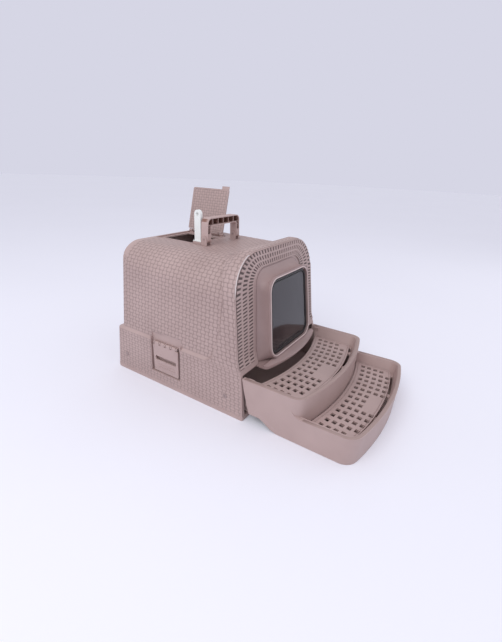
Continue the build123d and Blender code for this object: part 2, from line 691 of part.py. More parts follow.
def posts():
    """Upright posts at the rear ends of both side walls."""
    result = None
    for side in (-1, 1):
        x0, x1 = sorted((side * (PAN_HALF - WALL - 1), side * (STEP_HALF - 4)))
        post = box(x0, x1, -238, -222, 40, UPPER_TOP - 3)
        result = post if result is None else result + post
    return result


def step_grid(radii, top, first_row):
    """Perforated step plate on concentric arcs with a blank pad by the front edge."""
    band = tier_outline(GRID_HALF, -200, radii[1], 12)
    plate = extrude(Pos(0, 0, top - GRID_T) * band, GRID_T)
    plate -= Pos(0, ARC_Y, 0) * Cylinder(radii[0], 400)
    holes = []
    middle = (HOLE_COLS - 1) / 2
    for row in range(HOLE_ROWS):
        radius = first_row + row * ROW_PITCH
        for col in range(HOLE_COLS):
            x = (col - middle) * HOLE_PITCH
            pad = row >= HOLE_ROWS - 2 and col in (5, 6, 7)
            tip = row == HOLE_ROWS - 1 and col in (0, HOLE_COLS - 1)
            if pad or tip:
                continue
            y = ARC_Y - sqrt(radius ** 2 - x ** 2)
            turn = degrees(atan(x / (ARC_Y - y)))
            holes.append(Pos(x, y, top) * Rot(0, 0, turn) * Box(HOLE_W, HOLE_D, 4 * GRID_T))
    return solid_of(plate - Compound(children=holes))


def top_lid():
    """Lid with a stiffening rim below, hinge barrels and a finger tab, shown open."""
    plate = extrude(Pos(0, 0, SEAT_Z + GAP) * lid_outline(0.8), LID_T)
    relief = extrude(Pos(0, 0, SEAT_Z + GAP) * lid_outline(5), 1.4)
    lid = plate - relief
    for k in range(1, 4):
        x = LID_X[0] + k * (LID_X[1] - LID_X[0]) / 4
        lid += box(x - 0.8, x + 0.8, LID_Y[0] + 4, LID_Y[1] - 4, SEAT_Z + GAP + 0.6, SEAT_Z + 2)
    lid = lid & extrude(Pos(0, 0, SEAT_Z) * lid_outline(0.8), 10)
    lid += box(RECESS_X + 2, LID_X[0] + 3, LID_TAB[0], LID_TAB[1], SEAT_Z + 1.7, SEAT_Z + GAP + LID_T)
    span = (LID_Y[1] - LID_Y[0]) / 2
    for k in (-1, 1):
        y = (LID_Y[0] + LID_Y[1]) / 2 + k * span / 2
        barrel = Pos(HINGE_X, y, HINGE_Z) * Rot(90, 0, 0) * Cylinder(KNUCKLE_R - 1, 30)
        web = box(LID_X[1] - 8, HINGE_X, y - 15, y + 15, SEAT_Z + 2.2, SEAT_Z + 5)
        riser = box(HINGE_X - 3.4, HINGE_X - 0.4, y - 15, y + 15, SEAT_Z + 2.2, HINGE_Z)
        lid += web + riser + barrel
    lid -= rod(PIN_R + PIN_RUN, 8)
    pivot = Axis((HINGE_X, 0, HINGE_Z), (0, 1, 0))
    return solid_of(lid.rotate(pivot, LID_OPEN))


def carry_handle():
    """U-shaped channel handle, ribbed on its open front side."""
    half = HANDLE_X + LEG_W / 2
    outer = rounded([(-half, HANDLE_Z), (half, HANDLE_Z), (half - 2, HANDLE_TOP), (2 - half, HANDLE_TOP)],
                    [1, 1, 14, 14])
    inner = rounded([(-half + LEG_W, HANDLE_Z - 1), (half - LEG_W, HANDLE_Z - 1),
                     (half - LEG_W - 1, HANDLE_TOP - BAR_H), (1 + LEG_W - half, HANDLE_TOP - BAR_H)],
                    [1, 1, 8, 8])
    place = Plane.XZ.offset(-HANDLE_Y - HANDLE_DEPTH / 2)
    body = extrude(place * outer, HANDLE_DEPTH) - extrude(place * inner, HANDLE_DEPTH)
    for side in (-1, 1):
        foot = Pos(side * HANDLE_X, HANDLE_Y, HANDLE_Z) * Rot(0, 90, 0) * Cylinder(
            HANDLE_DEPTH / 2, LEG_W)
        body += foot
    channel_out = rounded([(-half + 2.4, HANDLE_Z + 14), (half - 2.4, HANDLE_Z + 14),
                           (half - 4.4, HANDLE_TOP - 2.4), (4.4 - half, HANDLE_TOP - 2.4)],
                          [1, 1, 12, 12])
    channel_in = rounded([(-half + LEG_W - 2.4, HANDLE_Z), (half - LEG_W + 2.4, HANDLE_Z),
                          (half - LEG_W + 1.4, HANDLE_TOP - BAR_H + 2.4), (LEG_W - 1.4 - half, HANDLE_TOP - BAR_H + 2.4)],
                         [1, 1, 9, 9])
    front = Plane.XZ.offset(-HANDLE_Y + HANDLE_DEPTH / 2)
    channel = extrude(front * channel_out, -(HANDLE_DEPTH - 3)) - extrude(
        front * channel_in, -(HANDLE_DEPTH - 3))
    body -= channel & box(-FAR, FAR, -FAR, HANDLE_Y + HANDLE_DEPTH / 2 - 3, HANDLE_Z + 14, HANDLE_TOP + 5)
    ribs = 5
    pitch = 2 * (half - LEG_W) / ribs
    for k in range(ribs):
        x = (k - (ribs - 1) / 2) * pitch
        body += box(x - 0.9, x + 0.9, HANDLE_Y - 8, HANDLE_Y + 9, HANDLE_TOP - BAR_H + 1, HANDLE_TOP - 1)
    for side in (-1, 1):
        x0, x1 = sorted((side * (half - LEG_W + 1), side * (half - 3)))
        for z in (HANDLE_Z + 20, HANDLE_Z + 27, HANDLE_Z + 34):
            body += box(x0, x1, HANDLE_Y - 8, HANDLE_Y + 9, z, z + 1.6)
    bore = Pos(0, HANDLE_Y, HANDLE_Z) * Rot(0, 90, 0) * Cylinder(HANDLE_PIN_R + PIN_RUN, 300)
    return solid_of(body - bore)


def handle_pin(side):
    """Pin through one handle foot and its two ears."""
    return Pos(side * HANDLE_X, HANDLE_Y, HANDLE_Z) * Rot(0, 90, 0) * Cylinder(
        HANDLE_PIN_R, LEG_W + 7)


def side_latch():
    """Clip plate with knuckles above, finger slot and inner nib, left side."""
    x0, x1 = -LATCH_PIVOT_X - LATCH_T, -LATCH_PIVOT_X
    y0, y1 = LATCH_Y - LATCH_W / 2, LATCH_Y + LATCH_W / 2
    plate = box(x0, x1, y0, y1, LATCH_LOW, LATCH_HIGH)
    plate = fillet(plate.edges().filter_by(Axis.X), 4)
    plate = chamfer(plate.faces().sort_by(Axis.X)[0].edges(), 1.0)
    slot = box(x0 - 5, x1 + 5, y0 + 8, y1 - 8, 73, 85)
    plate -= fillet(slot.edges().filter_by(Axis.X), 3)
    for k in range(KNUCKLES):
        y = LATCH_Y + (k - (KNUCKLES - 1) / 2) * KNUCKLE_PITCH
        knob = Pos(-LATCH_PIVOT_X, y, LATCH_PIVOT_Z) * Rot(90, 0, 0) * Cylinder(KNUCKLE_R, KNUCKLE_W)
        neck = box(x0, x1, y - KNUCKLE_W / 2, y + KNUCKLE_W / 2, LATCH_HIGH - 3, LATCH_PIVOT_Z)
        plate += knob + neck
    for z in (52, 60):
        plate += box(x0 - 0.8, x0 + 1, y0 + 14, y1 - 14, z, z + 2)
    plate += box(x1 - 1, -190.6, LATCH_Y - 13, LATCH_Y + 13, 45, 48.5)
    return solid_of(plate - latch_bore())


def latch_pin():
    """Pin through ears and knuckles of one latch, left side."""
    length = (KNUCKLES * KNUCKLE_PITCH) + EAR_W + 3
    return Pos(-LATCH_PIVOT_X, LATCH_Y, LATCH_PIVOT_Z) * Rot(90, 0, 0) * Cylinder(PIN_R, length)


def scoop_collar():
    """Collar in the roof slot that carries the scoop's flange."""
    low = SEAT_Z - 10
    body = scoop_slot(COLLAR_WALL, low, SCOOP_SEAT - 1)
    flange = scoop_slot(COLLAR_FLANGE, ROOF_Z + GAP, SCOOP_SEAT)
    flange = chamfer(flange.faces().sort_by(Axis.Z)[-1].edges(), 1.0)
    return solid_of(body + flange - scoop_slot(GAP, low - 5, SCOOP_SEAT + 5))


def scoop():
    """Litter scoop hanging by its flange, basket below the roof."""
    neck_z = 300.0
    r = SCOOP_W / 2
    handle = box(-SCOOP_T / 2, SCOOP_T / 2, -r, r, neck_z, SCOOP_TOP - r)
    cap = Pos(0, 0, SCOOP_TOP - r) * Rot(0, 90, 0) * Cylinder(r, SCOOP_T)
    hang = Pos(0, 0, SCOOP_TOP - r) * Rot(0, 90, 0) * Cylinder(4.0, 3 * SCOOP_T)
    grip = box(SCOOP_T / 2 - 2, SCOOP_T, -r + 4, r - 4, SCOOP_SEAT + 8, SCOOP_TOP - r - 12)
    stem = handle + cap - hang - grip
    flange = box(-SCOOP_T / 2 - 3, SCOOP_T / 2 + 3, -r - 3, r + 3, SCOOP_SEAT + GAP, SCOOP_SEAT + GAP + 2.5)
    basket = scoop_basket(neck_z)
    whole = stem + flange + basket
    return solid_of(Pos(SCOOP_X, SCOOP_Y, 0) * whole)


def scoop_basket(top):
    """Slotted dished blade below the handle."""
    length = 96.0
    wide, depth = 84.0, 26.0
    outer = loft([Pos(depth / 2 - 4, 0, top + 6) * RectangleRounded(depth * 0.5, wide * 0.62, 5),
                  Pos(depth / 2 - 4, 0, top - 24) * RectangleRounded(depth, wide, 8),
                  Pos(depth / 2 - 4, 0, top - length) * RectangleRounded(depth * 0.9, wide, 8)])
    inner = loft([Pos(depth / 2 + 1, 0, top + 2) * RectangleRounded(depth * 0.5, wide * 0.62 - 5, 4),
                  Pos(depth / 2 + 1, 0, top - 24) * RectangleRounded(depth + 4, wide - 5, 6),
                  Pos(depth / 2 + 1, 0, top - length - 1) * RectangleRounded(depth + 4, wide - 5, 6)])
    basket = outer - inner
    for k in range(-3, 4):
        basket -= Pos(-4, k * 10.5, top - 52) * Box(12, 5, 70)
    return basket


def build_all():
    """Every node by name."""
    latch = side_latch()
    pin = latch_pin()
    nodes = {
        "base_tray": base_tray(),
        "hood_shell": hood_shell(),
        "front_panel": front_panel(),
        "drawer_tray": drawer_tray(),
        "upper_step_grid": step_grid(UPPER_GRID_R, UPPER_GRID_TOP, UPPER_GRID_R[0] + 19),
        "lower_step_grid": step_grid(LOWER_GRID_R, LOWER_GRID_TOP, LOWER_GRID_R[0] + 20),
        "flap_door": flap_door(),
        "door_pin_left": door_pin(-1),
        "door_pin_right": door_pin(1),
        "top_lid": top_lid(),
        "lid_hinge_rod": rod(PIN_R),
        "carry_handle": carry_handle(),
        "handle_pin_left": handle_pin(-1),
        "handle_pin_right": handle_pin(1),
        "side_latch_left": latch,
        "side_latch_right": mirrored(latch),
        "latch_pin_left": pin,
        "latch_pin_right": mirrored(pin),
        "scoop": scoop(),
        "scoop_collar": scoop_collar(),
    }
    rear, front = button_spots()
    nodes["snap_button_rear_left"] = snap_button(-1, *rear)
    nodes["snap_button_rear_right"] = snap_button(1, *rear)
    nodes["snap_button_front_left"] = snap_button(-1, *front)
    nodes["snap_button_front_right"] = snap_button(1, *front)
    return nodes


for name, shape in build_all().items():
    export_step(shape, f"parts/{name}.step")
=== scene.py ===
"""Drawer litter box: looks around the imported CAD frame, laid out as an add-on that runs as a script."""

import json
import math

import bmesh
import bpy
from mathutils import Matrix, Vector
from mathutils.bvhtree import BVHTree


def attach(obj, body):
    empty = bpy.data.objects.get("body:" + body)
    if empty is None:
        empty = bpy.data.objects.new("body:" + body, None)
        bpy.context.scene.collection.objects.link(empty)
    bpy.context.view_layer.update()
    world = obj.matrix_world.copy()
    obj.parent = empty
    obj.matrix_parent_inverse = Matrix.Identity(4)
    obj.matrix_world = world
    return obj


bl_info = {
    "name": "Drawer Litter Box",
    "version": (1, 0, 0),
    "blender": (4, 5, 0),
    "location": "View3D > Sidebar > Litter Box",
    "description": "Woven relief, mouldings, materials and stage for a drawer litter box",
    "category": "Object",
}

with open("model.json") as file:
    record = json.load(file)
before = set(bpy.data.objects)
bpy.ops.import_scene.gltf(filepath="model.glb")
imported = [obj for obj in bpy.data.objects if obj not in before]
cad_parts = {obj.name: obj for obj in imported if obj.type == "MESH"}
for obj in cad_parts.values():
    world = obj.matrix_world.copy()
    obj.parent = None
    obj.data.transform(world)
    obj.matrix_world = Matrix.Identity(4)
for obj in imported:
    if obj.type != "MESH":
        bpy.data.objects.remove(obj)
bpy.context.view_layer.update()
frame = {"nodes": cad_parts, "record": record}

MM = 0.001
UP = Vector((0.0, 0.0, 1.0))
SHELL, PLASTIC = "shell", "taupe_plastic"     # the usual body of a piece, and the name of the plastic's material slot

# Hood in millimetres, as in the part: half width and rear at floor level, lean per mm of height
MAIN_HALF, MAIN_LEAN = 205.0, 0.050
MAIN_REAR, REAR_LEAN = 218.0, 0.070
SKIRT_HALF, SKIRT_LEAN = 208.0, 0.0385
SKIRT_REAR, SKIRT_REAR_LEAN = 235.0, 0.077
SKIRT_TOP, BELT_TOP, ROOF_Z, BROW_TOP = 127.0, 134.0, 371.0, 392.0
BORDER_RISE, BORDER_Y, BROW_REAR, BROW_R, BROW_REAR_R = 4.3, -149.0, -108.0, 96.0, 88.0
CORNER_R, WALL_TILT = 18.0, 0.05
ARCH_REAR, ARCH_FRONT = (238.0, 62.0), (-240.0, 100.0)
SWEEP = ((127.0, -96.0), (133.0, -114.0), (142.0, -125.0), (155.0, -131.0), (175.0, -136.0), (230.0, -145.0),
         (292.0, -149.0), (335.0, -140.0), (372.0, -108.0), (420.0, -100.0))
FRONT_EDGE = ((0.0, -221.0), (78.0, -215.0), (120.0, -210.0), (150.0, -200.0), (390.0, -173.1))
FRONT_Y, FRONT_Z, FRONT_LEAN = -200.0, 150.0, math.radians(6.4)
DOOR_Y, DOOR_Z, DOOR_LEAN = -221.5, 227.0, math.radians(6.66)
DOOR_HALF, DOOR_SPAN, DOOR_CORNER = (106.0, 97.0), (-96.0, 98.0), 30.0
LIP_H = 5.0
LATCH_Y, LATCH_HALF, LATCH_SPAN = 32.0, 52.0, (36.0, 150.0)
BUTTONS, BUTTON_ROOM = ((186.0, 52.0), (-167.0, 51.0)), 8.0
ROOF_KEPT = ((-74.0, 82.0, 43.0, 187.0), (-73.0, -51.0, 14.0, 50.0), (-76.0, -52.0, -10.0, 18.0),
             (52.0, 76.0, -10.0, 18.0))
ARC_Y, STEP_HALF, STEP_SHARP = 237.0, 200.0, 30.0
UPPER_R, UPPER_TOP, TIER_REAR = 633.0, 114.0, -213.0
LOWER_R, LOWER_TOP, LOWER_REAR, LOWER_RISE = 753.0, 67.0, -371.0, 5.0 / 227.0
GRIDS = (("upper_grid", 88.0, 501.0, 606.0), ("lower_grid", 44.0, 634.5, 730.0))
HINGE_X, HINGE_Z, LID_OPEN = 70.0, 376.0, math.radians(104.0)
WELL_INSET, WELL_SIDE, WELL_DROP, WELL_FLOOR = 2.0, 3.0, 1.5, 4.0     # bounds of the painted shade in the wells below the step grids

# Open channel of the carry handle, darkened by painted shade: legs by distance from the middle, bar by
# height, depth along Y
CHANNEL_LEG, CHANNEL_BAR, CHANNEL_DEPTH = (59.0, 68.8), (423.7, 438.8), (-6.5, 3.0)

# Weave in millimetres: ends of its areas, and its arches as half width low and high, top, radius
MAIN_FRONT, MAIN_LENGTH, MAIN_HEIGHT, REAR_TOP = -152.0, 342.0, 385.0, 366.0
SKIRT_LOW, SKIRT_RUN, SKIRT_RELIEF, REAR_RUN = 13.0, 430.0, 0.3, 180.0
BORDER_LENGTH, BORDER_CELLS, BELT_CLEAR, EDGE_CLEAR = 400.0, 4, 2.0, 2.5
FRONT_FOOT, FRONT_LENGTH, FRONT_RINGS = 131.0, 370.0, 3
FRONT_INNER, FRONT_OUTER = (136.0, 118.0, 350.0, 44.0), (204.6, 191.5, 390.0, 93.0)
ARCH_LEG, ARCH_BEND = 0.52, 0.28     # shares of half an arch
SWEEP_CLEAR, BORDER_CLEAR = 3.0, 1.0
LATCH_ZONE_TOP, ROOF_ZONE_LOW, REAR_ZONE_Y = 200.0, 360.0, 225.0
SETTLE_REACH, SETTLE_STEP, LEAST_SLOPE = 4.0, 0.05, 0.1
DROP_REACH, DROP_FACING = 6.0, 0.6
LID_CELL, LID_ROW, LID_RELIEF = 16.6, 7.5, 0.55
LID_FACES = (("outer", 371.9, 1.0, (-55.0, 56.0), (51.0, 179.0)),
             ("inner", 368.95, -1.0, (-52.5, 60.5), (53.5, 176.5)))

# Outlines of edge beads, as corners and radii, and the spacing of their points
LOOP_STEP = 5.0
LID_CORNERS, LID_RADII = ((-56.4, 49.6), (64.0, 49.6), (64.0, 180.4), (-56.4, 180.4)), (5.0, 3.0, 3.0, 5.0)
LID_EDGE_Z = 370.1
LID_PIVOT, LID_TURN = Vector((HINGE_X, 0.0, HINGE_Z)), Matrix.Rotation(LID_OPEN, 3, "Y")
RECESS_CORNERS, RECESS_RADII = ((-70.0, 46.0), (78.0, 46.0), (78.0, 184.0), (-70.0, 184.0)), (5.0,) * 4
GRID_HALF, GRID_CORNER = 171.0, 9.0

# Beads as half width and height
LIP_BEAD, FLAP_BEAD, EDGE_BEAD, RECESS_BEAD = (1.5, 1.2), (3.6, 1.6), (1.3, 1.3), (1.6, 0.9)
UPPER_BEAD, LOWER_BEAD, GRID_BEAD, LID_BEAD = (4.6, 1.2), (4.4, 1.2), (0.8, 0.45), (0.95, 1.95)
LIP_PLACE, FLAP_PLACE = (1.6, LIP_H - 0.2), (-7.6, 0.0)     # outwards from the opening, proud of the door

# Bead on the border's front edge: its foot, inset and points, and its drop above a height
EDGE_LOW, EDGE_IN, EDGE_POINTS, BROW_DROP, BROW_ZONE = 125.0, 1.2, 120, 3.6, 387.0

# The photograph's camera
PHOTO_FOCAL_PX, PHOTO_LONG_PX, SENSOR_MM = 360.0, 642.0, 36.0
CAMERA_TARGET = Vector((0.0, -104.0, 162.6)) * MM
CAMERA_DISTANCE = 1.02412
CAMERA_AZIMUTH, CAMERA_HEIGHT, CAMERA_ROLL = (math.radians(a) for a in (-58.008, 23.366, 2.574))

# Studio in metres
FLOOR_RADIUS, LIGHT_AIM = 14.0, Vector((0.0, -0.1, 0.2))
KEY_PLACE, KEY_SIZE = (-1.9, -0.1, 2.2), 1.8
FILL_PLACE, FILL_SIZE = (1.6, -1.8, 1.2), 1.6


def srgb(r, g, b):
    """Linear colour from 0-255 display values."""
    def channel(c):
        c /= 255.0
        return c / 12.92 if c <= 0.04045 else ((c + 0.055) / 1.055) ** 2.4
    return (channel(r), channel(g), channel(b), 1.0)


TAUPE = srgb(191, 167, 162)
TAUPE_DARK = srgb(158, 134, 129)
# darker copy of the plastic for the rounded rims: painted shade that tones down their light
RIM_SHADED_TAUPE = srgb(168, 145, 139)
# painted shade in the carry handle's open channel
HANDLE_CHANNEL_SHADE = srgb(128, 88, 74)
# darker copy of the plastic for the front panel: painted shade on its band, which faces away from the light
FRONT_SHADED_TAUPE, FRONT_SHADED_DARK = srgb(170, 146, 143), srgb(134, 112, 109)
# painted highlight on the door lip's bead
LIP_HIGHLIGHT = srgb(222, 204, 200)
# painted shade of the wells under the step grids
WELL_SHADE = srgb(92, 74, 70)
GLOW = (0.085, 0.085, 0.09, 1.0)
BUTTON = srgb(160, 141, 139)
SCOOP_WHITE = srgb(240, 243, 240)
STEEL = srgb(172, 170, 168)
SMOKE = srgb(44, 38, 42)
# painted shadow in the gap round the flap
GAP_SHADOW = srgb(22, 16, 17)
FLOOR = srgb(236, 236, 244)
SKY = srgb(238, 238, 248)
HORIZON = srgb(214, 214, 229)
BLACK = (0.0, 0.0, 0.0, 1.0)
SPARK = (1500.0, 2.0, 0.6)     # noise scale, detail and roughness of moulded grain
SPARK_BUMP = (0.25, 0.00025)     # its strength and height


class Value:
    """A shader output that takes part in arithmetic."""

    def __init__(self, graph, socket):
        self.graph = graph
        self.socket = socket

    def __add__(self, other):
        return self.graph.math("ADD", self, other)

    def __radd__(self, other):
        return self.graph.math("ADD", other, self)

    def __sub__(self, other):
        return self.graph.math("SUBTRACT", self, other)

    def __rsub__(self, other):
        return self.graph.math("SUBTRACT", other, self)

    def __mul__(self, other):
        return self.graph.math("MULTIPLY", self, other)

    def __rmul__(self, other):
        return self.graph.math("MULTIPLY", other, self)

    def __gt__(self, other):
        return self.graph.math("GREATER_THAN", self, other)

    def __lt__(self, other):
        return self.graph.math("LESS_THAN", self, other)

    def __abs__(self):
        return self.graph.math("ABSOLUTE", self)


class Graph:
    """Nodes of a material or world, built by short calls that end in its ready-made shader."""

    def __init__(self, owner, shader="Principled BSDF"):
        owner.use_nodes = True
        self.owner = owner
        self.nodes = owner.node_tree.nodes
        self.links = owner.node_tree.links
        self.shader = self.nodes[shader]

    def feed(self, socket, value):
        """Connect a Value, or set a plain constant on the socket."""
        if isinstance(value, Value):
            self.links.new(value.socket, socket)
        else:
            socket.default_value = value

    def node(self, kind, settings=None, sockets=None, output=0):
        """One output of a new node: its settings first, then a value or link for each socket."""
        made = self.nodes.new(kind)
        for key, value in (settings or {}).items():
            setattr(made, key, value)
        for key, value in (sockets or {}).items():
            self.feed(made.inputs[key], value)
        return Value(self, made.outputs[output])

    def math(self, operation, *values):
        return self.node("ShaderNodeMath", {"operation": operation}, dict(enumerate(values)))

    def coordinates(self):
        return self.node("ShaderNodeTexCoord", output="Object")

    def axis(self, letter):
        """X, Y or Z on the object, in mm."""
        place = self.node("ShaderNodeSeparateXYZ", sockets={"Vector": self.coordinates()}, output=letter)
        return place * (1.0 / MM)

    def noise(self, scale, detail=3.0, rough=0.5):
        sockets = {"Vector": self.coordinates(), "Scale": scale, "Detail": detail, "Roughness": rough}
        return self.node("ShaderNodeTexNoise", sockets=sockets, output="Fac")

    def attribute(self, name):
        return self.node("ShaderNodeAttribute", {"attribute_name": name}, output="Fac")

    def camera_ray(self):
        """1 where the camera looks straight at the shader, 0 for light on its way."""
        return self.node("ShaderNodeLightPath", output="Is Camera Ray")

    def ramp(self, value, low, high):
        """Share of the way from low to high, kept within 0 and 1."""
        sockets = {"Value": value, "From Min": low, "From Max": high}
        return self.node("ShaderNodeMapRange", sockets=sockets, output="Result")

    def blend(self, share, a, b):
        """Colour between a and b."""
        return self.node("ShaderNodeMix", {"data_type": "RGBA"}, {"Factor": share, "A": a, "B": b}, "Result")

    def bump(self, height, strength, distance):
        sockets = {"Height": height, "Strength": strength, "Distance": distance}
        return self.node("ShaderNodeBump", sockets=sockets, output="Normal")

    def set(self, **inputs):
        """Set inputs of the shader by name, with _ for a space."""
        for key, value in inputs.items():
            self.feed(self.shader.inputs[key.replace("_", " ")], value)
        return self.owner


def surface(name):
    return Graph(bpy.data.materials.new(name))


def shaded(colour, share):
    """A darker share of a colour."""
    return tuple(c * share for c in colour[:3]) + (1.0,)


def flow(g, base, dark):
    """Colour of moulded plastic with faint flow streaks."""
    return g.blend(g.ramp(g.noise(9.0, 4.0), 0.25, 1.25), base, dark)


def spark(g, rough=0.46):
    """Roughness and normal of moulded plastic with its fine spark texture."""
    fine = g.noise(*SPARK)
    return {"Roughness": g.ramp(fine, -0.6, 1.6) * 0.3 + (rough - 0.12), "Normal": g.bump(fine, *SPARK_BUMP)}


def moulded(name, base, dark, rough=0.46):
    """Moulded plastic: faint flow streaks, fine spark texture, rougher patches."""
    g = surface(name)
    return g.set(Base_Color=flow(g, base, dark), **spark(g, rough))


def channelled(name, base, channel_shade):
    """Moulded handle, its open channel painted in a warmer and darker shade the deeper it goes along Y."""
    g = surface(name)
    across, height = abs(g.axis("X")), g.axis("Z")
    leg_or_bar = g.math("MAXIMUM", across > CHANNEL_LEG[0], height > CHANNEL_BAR[0])
    inside = leg_or_bar * (across < CHANNEL_LEG[1]) * (height < CHANNEL_BAR[1])
    shade = inside * g.ramp(g.axis("Y"), *CHANNEL_DEPTH) * (g.noise(40.0) * 0.3 + 0.75)
    return g.set(Base_Color=g.blend(shade, base, channel_shade), Roughness=0.48,
                 Normal=g.bump(g.noise(*SPARK), *SPARK_BUMP))


def stepped(name, base, dark):
    """Moulded drawer with painted deep shade in the drained wells under the two step grids."""
    g = surface(name)
    x, back, z = g.axis("X"), ARC_Y - g.axis("Y"), g.axis("Z")
    radius = g.math("SQRT", x * x + back * back)
    well_shade = 0.0
    for _, top, inner, outer in GRIDS:
        well_shade = well_shade + (radius > inner + WELL_INSET) * (radius < outer - WELL_INSET) * (z < top - WELL_DROP)
    within = (abs(x) < GRID_HALF + WELL_SIDE) * (z > WELL_FLOOR)
    return g.set(Base_Color=g.blend(well_shade * within, flow(g, base, dark), WELL_SHADE), **spark(g))


def woven(name, base, dark, depth=0.45, share=0.62):
    """The same plastic on the woven relief, with painted shade in its grooves by the relief attribute."""
    g = surface(name)
    fine = g.noise(1400.0, 2.0, 0.6)
    groove_shade = g.ramp(g.attribute("relief"), 0.75, 0.0)
    colour = g.blend(groove_shade * share, flow(g, base, dark), shaded(dark, depth))
    return g.set(Base_Color=colour, Roughness=groove_shade * 0.2 + 0.44, Normal=g.bump(fine, 0.25, 0.0002))


def smoky(name, tint):
    """Smoky clear flap: dark body colour, partly see-through, smooth coat with faint scuffs."""
    g = surface(name)
    scuff = g.noise(60.0, 5.0, 0.7)
    return g.set(Base_Color=tint, Roughness=g.ramp(scuff, 0.3, 0.9) * 0.10 + 0.05,
                 Alpha=g.ramp(scuff, -1.5, 2.0) * 0.12 + 0.60, Coat_Weight=0.6, Coat_Roughness=0.04,
                 IOR=1.5)


def glossy(name, base):
    """Semi-gloss moulding with soft sink marks."""
    g = surface(name)
    cloud = g.noise(22.0)
    return g.set(Base_Color=g.blend(g.ramp(cloud, 0.35, 1.1), base, shaded(base, 0.9)),
                 Roughness=g.ramp(cloud, 0.0, 1.0) * 0.12 + 0.24, Coat_Weight=0.25,
                 Normal=g.bump(cloud, 0.08, 0.002))


def painted_shadow_rim(name, fleck_colour):
    """Dark rim of painted shadow, flecked with a lighter tone."""
    g = surface(name)
    fleck = g.noise(90.0, 4.0)
    return g.set(Base_Color=g.blend(g.ramp(fleck, 0.5, 3.0), GAP_SHADOW, fleck_colour),
                 Roughness=fleck * 0.2 + 0.5, Normal=g.bump(fleck, 0.2, 0.0003))


def drawn_wire(name):
    """Plain steel pin with drawing lines round it."""
    g = surface(name)
    line = g.noise(700.0, 2.0)
    return g.set(Base_Color=g.blend(line, STEEL, shaded(STEEL, 0.6)), Metallic=1.0,
                 Roughness=g.ramp(line, 0.0, 1.0) * 0.2 + 0.28, Normal=g.bump(line, 0.2, 0.0001))


def matte_floor(name):
    """Pale seamless paper, a little brighter to the camera alone."""
    g = surface(name)
    colour = g.blend(g.noise(1.2, 2.0), FLOOR, shaded(FLOOR, 0.97))
    return g.set(Base_Color=colour, Roughness=0.85, Emission_Strength=1.0,
                 Emission_Color=g.blend(g.camera_ray(), BLACK, GLOW))


def lerp_table(table, z):
    """Straight-line reading of a table of (z, value) pairs."""
    for (z0, a), (z1, b) in zip(table, table[1:]):
        if z <= z1:
            return a + (b - a) * (z - z0) / (z1 - z0)
    return table[-1][1]


def arch_radius(y):
    """Shoulder radius of the main body along the hood."""
    (y0, r0), (y1, r1) = ARCH_REAR, ARCH_FRONT
    return r0 + (r1 - r0) * (y - y0) / (y1 - y0)


def arch_point(y, share, low, half, top, r):
    """Point and normal on a section, share 0 at one belt, 0.5 mid-roof, 1 at the other belt."""
    side = -1.0 if share < 0.5 else 1.0
    t = 2.0 * min(share, 1.0 - share)
    lean = math.atan(MAIN_LEAN)
    cz = top - r
    cx = half - MAIN_LEAN * cz - r / math.cos(lean)
    straight = (cz + r * math.sin(lean)) - low
    arc = r * (math.pi / 2 - lean)
    s = t * (straight + arc + cx)
    if s < straight:
        x, z = half - MAIN_LEAN * (low + s), low + s
        n = (math.cos(lean), math.sin(lean))
    elif s < straight + arc:
        a = lean + (s - straight) / r
        x, z = cx + r * math.cos(a), cz + r * math.sin(a)
        n = (math.cos(a), math.sin(a))
    else:
        x, z = cx - (s - straight - arc), top
        n = (0.0, 1.0)
    return Vector((side * x, y, z)), Vector((side * n[0], 0.0, n[1]))


def brow_point(y, share, low):
    """Point and normal on the raised border, which runs out into the roof behind BORDER_Y."""
    rise = min(1.0, max(0.0, (BROW_REAR - y) / (BROW_REAR - BORDER_Y)))
    half = MAIN_HALF + BORDER_RISE * rise
    top = ROOF_Z + (BROW_TOP - ROOF_Z) * rise
    return arch_point(y, share, low, half, top, BROW_REAR_R + (BROW_R - BROW_REAR_R) * rise)


def wall_point(share, z, half, rear, front):
    """Point and normal on a level path: along one side, round the rear, along the other side."""
    side = -1.0 if share < 0.5 else 1.0
    t = 2.0 * min(share, 1.0 - share)
    r = CORNER_R
    run = rear - r - front
    bend = r * math.pi / 2
    s = t * (run + bend + half - r)
    if s < run:
        x, y, n = half, front + s, (1.0, 0.0)
    elif s < run + bend:
        a = (s - run) / r
        x, y = half - r + r * math.cos(a), rear - r + r * math.sin(a)
        n = (math.cos(a), math.sin(a))
    else:
        x, y, n = half - r - (s - run - bend), rear, (0.0, 1.0)
    return Vector((side * x, y, z)), Vector((side * n[0], n[1], WALL_TILT)).normalized()


def arch_path(arch, share):
    """Point on a front-view arch from one foot over the top to the other foot."""
    half_low, half_high, high, radius = arch
    low, legs, bend = FRONT_FOOT, ARCH_LEG, ARCH_BEND
    side = -1.0 if share < 0.5 else 1.0
    t = 2.0 * min(share, 1.0 - share)
    corner_z = high - radius
    half = half_low + (half_high - half_low) * (corner_z - low) / (high - low)
    if t < legs:
        z = low + (corner_z - low) * t / legs
        x = half_low + (half_high - half_low) * (z - low) / (high - low)
    elif t < legs + bend:
        a = (t - legs) / bend * math.pi / 2
        x, z = half - radius + radius * math.cos(a), corner_z + radius * math.sin(a)
    else:
        x, z = (half - radius) * (1.0 - (t - legs - bend) / (1.0 - legs - bend)), high
    return Vector((side * x, z))


def outside(a, b, box):
    """How far a point (a, b) lies outside a box (a0, a1, b0, b1), negative within."""
    return max(box[0] - a, a - box[1], box[2] - b, b - box[3])


def free_of_latch(p):
    return outside(p.y, p.z, (LATCH_Y - LATCH_HALF, LATCH_Y + LATCH_HALF) + LATCH_SPAN)


def free_of_buttons(p):
    return min(math.hypot(p.y - y, p.z - z) - BUTTON_ROOM for y, z in BUTTONS)


